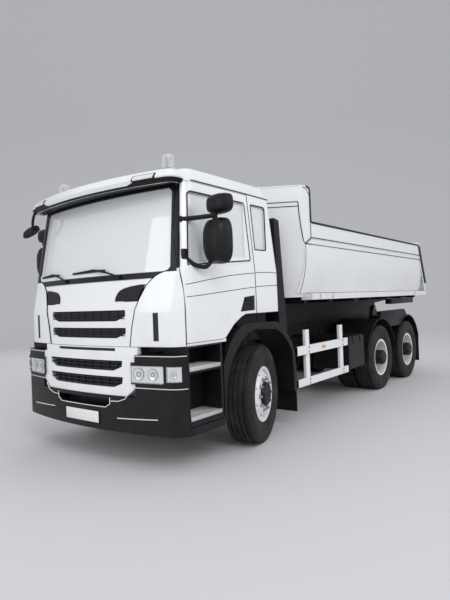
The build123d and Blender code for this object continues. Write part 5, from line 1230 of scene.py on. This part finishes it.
# ------------------------------------------------ tipping body
# Half-pipe body welded from wear-resistant plate and painted white. A deep
# rim runs round the top, dark strips edge the rim, painted shade darkens the
# rear posts' edges, and the front wall has a post at each corner. Painted
# shadow lines follow its folds. Worn bare steel shows inside.
body_white = Finish("body paint", (0.84, 0.85, 0.86), 0.30, Coat_Weight=0.35)
streak = body_white.noise(2.2, 5) * body_white.noise(30, 3)
soil = streak.within(0.2, 0.42) * (1 - body_white.height().within(1.5, 2.2)) * 0.35
body_white.feed(Base_Color=body_white.stained(soil, (0.48, 0.44, 0.39)), Roughness=soil * 0.7 + 0.28)
body_white.grain(6, 2, 0.0010, 0.25)
worn = Finish("worn floor steel", (0.34, 0.33, 0.32), 0.42, Metallic=0.85)
scratch = worn.noise(9, 5, 0.6, worn.place((0.15, 1, 1)))
worn.feed(Base_Color=worn.blend(scratch.within(0.4, 0.65), (0.36, 0.35, 0.34), (0.17, 0.13, 0.10)),
          Roughness=scratch.within(0.35, 0.7) * 0.35 + 0.3)
worn.bump(scratch, 0.002, 0.5)
RIM_TOP, RIM_LOW = 2.498, 2.311              # edges of the rim
SIDE_LOW, SIDE_TOP = 1.607, 2.214            # smooth part of the side
PIPE_Z = 2.120                               # middle of the half-pipe's curve
LEAN = (-6.112 + 5.672) / (RIM_TOP - 1.560)  # the tailgate's slope
CORNER_X = AXLE - 1.035                      # the front wall's angled corner begins
POST_X = AXLE - 1.190                        # rear edge of the front corner's post


def gate_edge(z):
    """The body's sloping rear edge."""
    return AXLE - 5.672 + LEAN * (RIM_TOP - z)


def pipe_y(z):
    """Half width of the half-pipe's outer face."""
    return 1.250 if z >= PIPE_Z else 0.013 + sqrt(1.237 ** 2 - (PIPE_Z - z) ** 2)


def wall_x(y):
    """Where the front wall stands, between its corner and its flat middle."""
    return AXLE - 1.0 + 0.6027 * (1.250 - y)


def along_gate(points, y):
    """Points given by their distance ahead of the body's rear edge, and height."""
    return [(gate_edge(z) + x, y, z) for x, z in points]


eased("bed_sides", body_white, 0.006, 3)
eased("bed_front", body_white, 0.006, 3)
eased("bed_floor", worn, 0.003, 2)
extra, joints_and_shadow_lines, wear, caps = Shape(), Shape(), Shape(), Shape()
RECESS = (2.745, 2.690)                      # edges of the long recess in the front wall
for s in (1, -1):
    rows = []                                # smooth outer face of the half-pipe
    for z in (1.606 + (SIDE_TOP - 1.606) * k / 16 for k in range(17)):
        start, end = gate_edge(z) + 0.004, wall_x(pipe_y(z)) - 0.002
        rows.append([(start + (end - start) * i / 6, s * (pipe_y(z) + 0.0022), z) for i in range(7)])
    extra.skin(outward(rows, s), 0.004)
    for z, r in ((RIM_TOP, 0.010), (RIM_LOW, 0.008)):        # rolled edges of the rim
        extra.tube([(AXLE - 1.195, s * 1.258, z), (gate_edge(z) + 0.004, s * 1.258, z)], r, 10)
    low = s * (pipe_y(SIDE_LOW) + 0.004)     # seams under the rim and over the bottom rail
    for radius, front, x, y, z in ((0.0060, s * 1.2640, AXLE - 1.192, s * 1.2640, RIM_LOW),
                                   (0.0065, s * 1.2540, CORNER_X, s * 1.2585, 2.226)):
        joints_and_shadow_lines.tube([(x, front, z), (gate_edge(z), y, z)], radius, 6)
    joints_and_shadow_lines.tube([(AXLE - 1.192, low, 1.6075), (gate_edge(SIDE_LOW), low, 1.6075)], 0.0070, 6)
    for x in (-1.42, -1.78, -5.40):                          # butts in the bottom rail
        joints_and_shadow_lines.tube([(AXLE + x, s * 1.2425, 1.526), (AXLE + x, s * 1.2425, 1.600)], 0.0040, 6)
    # painted shadow lines round the front corner's post, then along its raised edges
    joints_and_shadow_lines.tube([(POST_X, s * 1.2515, 2.30), (POST_X, s * 1.2515, 2.94)], 0.0045, 6)
    joints_and_shadow_lines.tube([(POST_X, s * 1.2640, 2.310), (CORNER_X, s * 1.2530, 2.226)], 0.0060, 6)
    joints_and_shadow_lines.tube([(AXLE + x, s * 1.2515, z) for x, z in ((-1.186, 2.835), (-1.100, 2.922), (-1.020, 2.922))], 0.0040, 6)
    joints_and_shadow_lines.tube([(CORNER_X, s * (pipe_y(z) + 0.003), z) for z in (1.610 + (2.226 - 1.610) * k / 18 for k in range(19))],
                0.0070, 8)
    edge = ((1.204, 2.745), (1.210, 2.600), (1.226, 2.420), (1.249, 2.250))
    joints_and_shadow_lines.tube([(wall_x(y) + 0.001, s * (y + 0.001), z) for y, z in edge] + [(CORNER_X, s * 1.2525, 2.226)], 0.0060, 6)
    for z in RECESS:
        joints_and_shadow_lines.tube([(wall_x(y) + 0.001, s * (y + 0.001), z) for y in (1.204, 0.530)], 0.0055, 6)
    extra.tube([(AXLE + x, s * y, 2.943) for x, y in ((-1.100, 1.248), (-1.000, 1.246), (-0.562, 0.519))], 0.010, 10)
    caps.tube([(AXLE + x, s * y, z) for x, y, z in (
        (-1.192, 1.254, 2.515), (-1.192, 1.250, 2.940), (-1.100, 1.249, 2.948))], 0.014, 8)
    caps.tube([(AXLE - 1.192, s * 1.262, 2.503), (gate_edge(2.503) + 0.004, s * 1.262, 2.503)], 0.016, 8)
    caps.slab(along_gate(((-0.050, 1.760), (0.040, 1.760), (0.040, 2.488), (-0.050, 2.488)), s * 1.2535),
              (0, s * 0.0265, 0), 0.006)                     # painted shade on the rear post's edge
    # painted shadow line where the half-pipe curves in behind the rear post
    joints_and_shadow_lines.tube([(gate_edge(z) + x, s * y, z) for x, y, z in (
        (0.092, pipe_y(1.70) - 0.030, 1.610), (0.092, pipe_y(1.80) + 0.004, 1.80),
        (0.110, pipe_y(2.0) + 0.004, 2.0), (0.110, 1.2545, SIDE_TOP))], 0.0065, 6)
    extra.slab(along_gate(((0.004, 1.600), (0.085, 1.600), (0.085, 2.300), (0.004, 2.300)), s * 1.252),
               (0, s * 0.010, 0), 0.003)                     # strip beside the tailgate
    rows = []                                # bare steel inside
    for z in (SIDE_LOW + (2.440 - SIDE_LOW) * k / 12 for k in range(13)):
        y = 1.2075 if z >= PIPE_Z else 0.013 + sqrt(1.1945 ** 2 - (PIPE_Z - z) ** 2)
        rows.append([(x, s * y, z) for x in (gate_edge(z) + 0.012, AXLE - 3.4, AXLE - 1.186)])
    wear.skin(outward(rows, -s), 0.003)
extra.tube([(AXLE - 0.562, 0.519, 2.943), (AXLE - 0.562, -0.519, 2.943)], 0.010, 10)
for z in RECESS:
    joints_and_shadow_lines.tube([(AXLE - 0.5585, 0.520, z), (AXLE - 0.5585, -0.520, z)], 0.0030, 6)
for y in (-0.34 + 0.34 * k for k in range(3)):               # stiffening ribs down the front wall
    extra.slab([(AXLE - 0.560, y + w, z) for w, z in ((-0.045, 1.62), (0.045, 1.62), (0.045, 2.66), (-0.045, 2.66))],
               (0.030, 0, 0), 0.010, 2)
extra.done("body_pressings", body_white, "tipping_body", slot="paint_white")
joints_and_shadow_lines.done("body_seams", shut_and_shadow_line, "tipping_body", slot="paint_white")
caps.done("rim_cap_strips", seal_and_shade_black, "tipping_body", slot="paint_white")
wear.done("body_lining", worn, "tipping_body", slot="paint_white")

# ------------------------------------------------ tailgate
# Ribbed white gate hung on two pins from the rim, with a black strip down
# each side that paints the shade on its side posts.
eased("tailgate", body_white, 0.006, 3)
ribs, edge = Shape(), Shape()
RIB_LOW, RIB_TOP = 1.60, 2.44
for y in (-0.98, -0.50, 0.0, 0.50, 0.98):
    ribs.slab([(gate_edge(at) + x, y - 0.05, z) for at, x, z in (
        (RIB_LOW, -0.062, RIB_LOW), (RIB_TOP, -0.062, RIB_TOP), (RIB_TOP, -0.092, RIB_TOP - 0.03),
        (RIB_LOW, -0.092, RIB_LOW + 0.03))], (0, 0.10, 0), 0.006)
for z in (1.66, 2.02, 2.38):
    ribs.slab(along_gate(((-0.060, z - 0.04), (-0.082, z - 0.03), (-0.082, z + 0.03), (-0.060, z + 0.04)), -1.20),
              (0, 2.40, 0), 0.004)
ribs.done("gate_ribs", body_white, "tailgate", slot="paint_white")
# Black strips down the gate's sides are painted shade on its side posts.
for s in (1, -1):
    edge.slab(along_gate(((-0.008, 1.760), (-0.008, 2.435), (-0.061, 2.435), (-0.061, 1.760)), s * 1.2365),
              (0, s * 0.014, 0), 0.003)
edge.done("gate_seal", seal_and_shade_black, "tailgate", slot="paint_white")

# ------------------------------------------------ body underframe and ram
# Two beams and cross bearers in black with a runner outside each, hinged at
# the rear, and a polished three-stage ram in its cradle with its oil hoses.
eased("bed_underframe", chassis_paint, 0.005, 2)
runner = Shape()
for s in (1, -1):
    runner.beside(s, (AXLE - 5.430, 1.080, 1.385), (AXLE - 4.220, 1.195, 1.482), 0.006)
runner.done("body_runners", chassis_paint, "tipping_body", slot="frame_black")
chrome = Finish("polished ram steel", (0.70, 0.70, 0.71), 0.12, Metallic=1.0)
chrome.bump(chrome.noise(60, 2, 0.5, chrome.place((1, 1, 0.05))), 0.0001, 0.2)
coat(chassis_paint, "ram_barrel")
coat(chrome, "ram_stage_1", "ram_stage_2", "ram_stage_3")
hoses = Shape()
RAM_X = AXLE - 2.905                         # the ram's pin in its cradle
for s in (1, -1):
    hoses.tube([(RAM_X + x, s * y, z) for x, y, z in (
        (-0.08, 0.12, 0.80), (-0.30, 0.20, 0.70), (-0.50, 0.30, 0.78), (-0.60, 0.405, 0.86))], 0.014, 10)
hoses.done("ram_hoses", seal_and_shade_black, "chassis", slot="frame_black")
copies("hinge_caps", hex_bolt(0.060, 0.016),
       [((AXLE - 5.300, s * 0.4715, 1.300), (0, s, 0), (1, 0, 0)) for s in (1, -1)],
       nut_steel, "chassis")
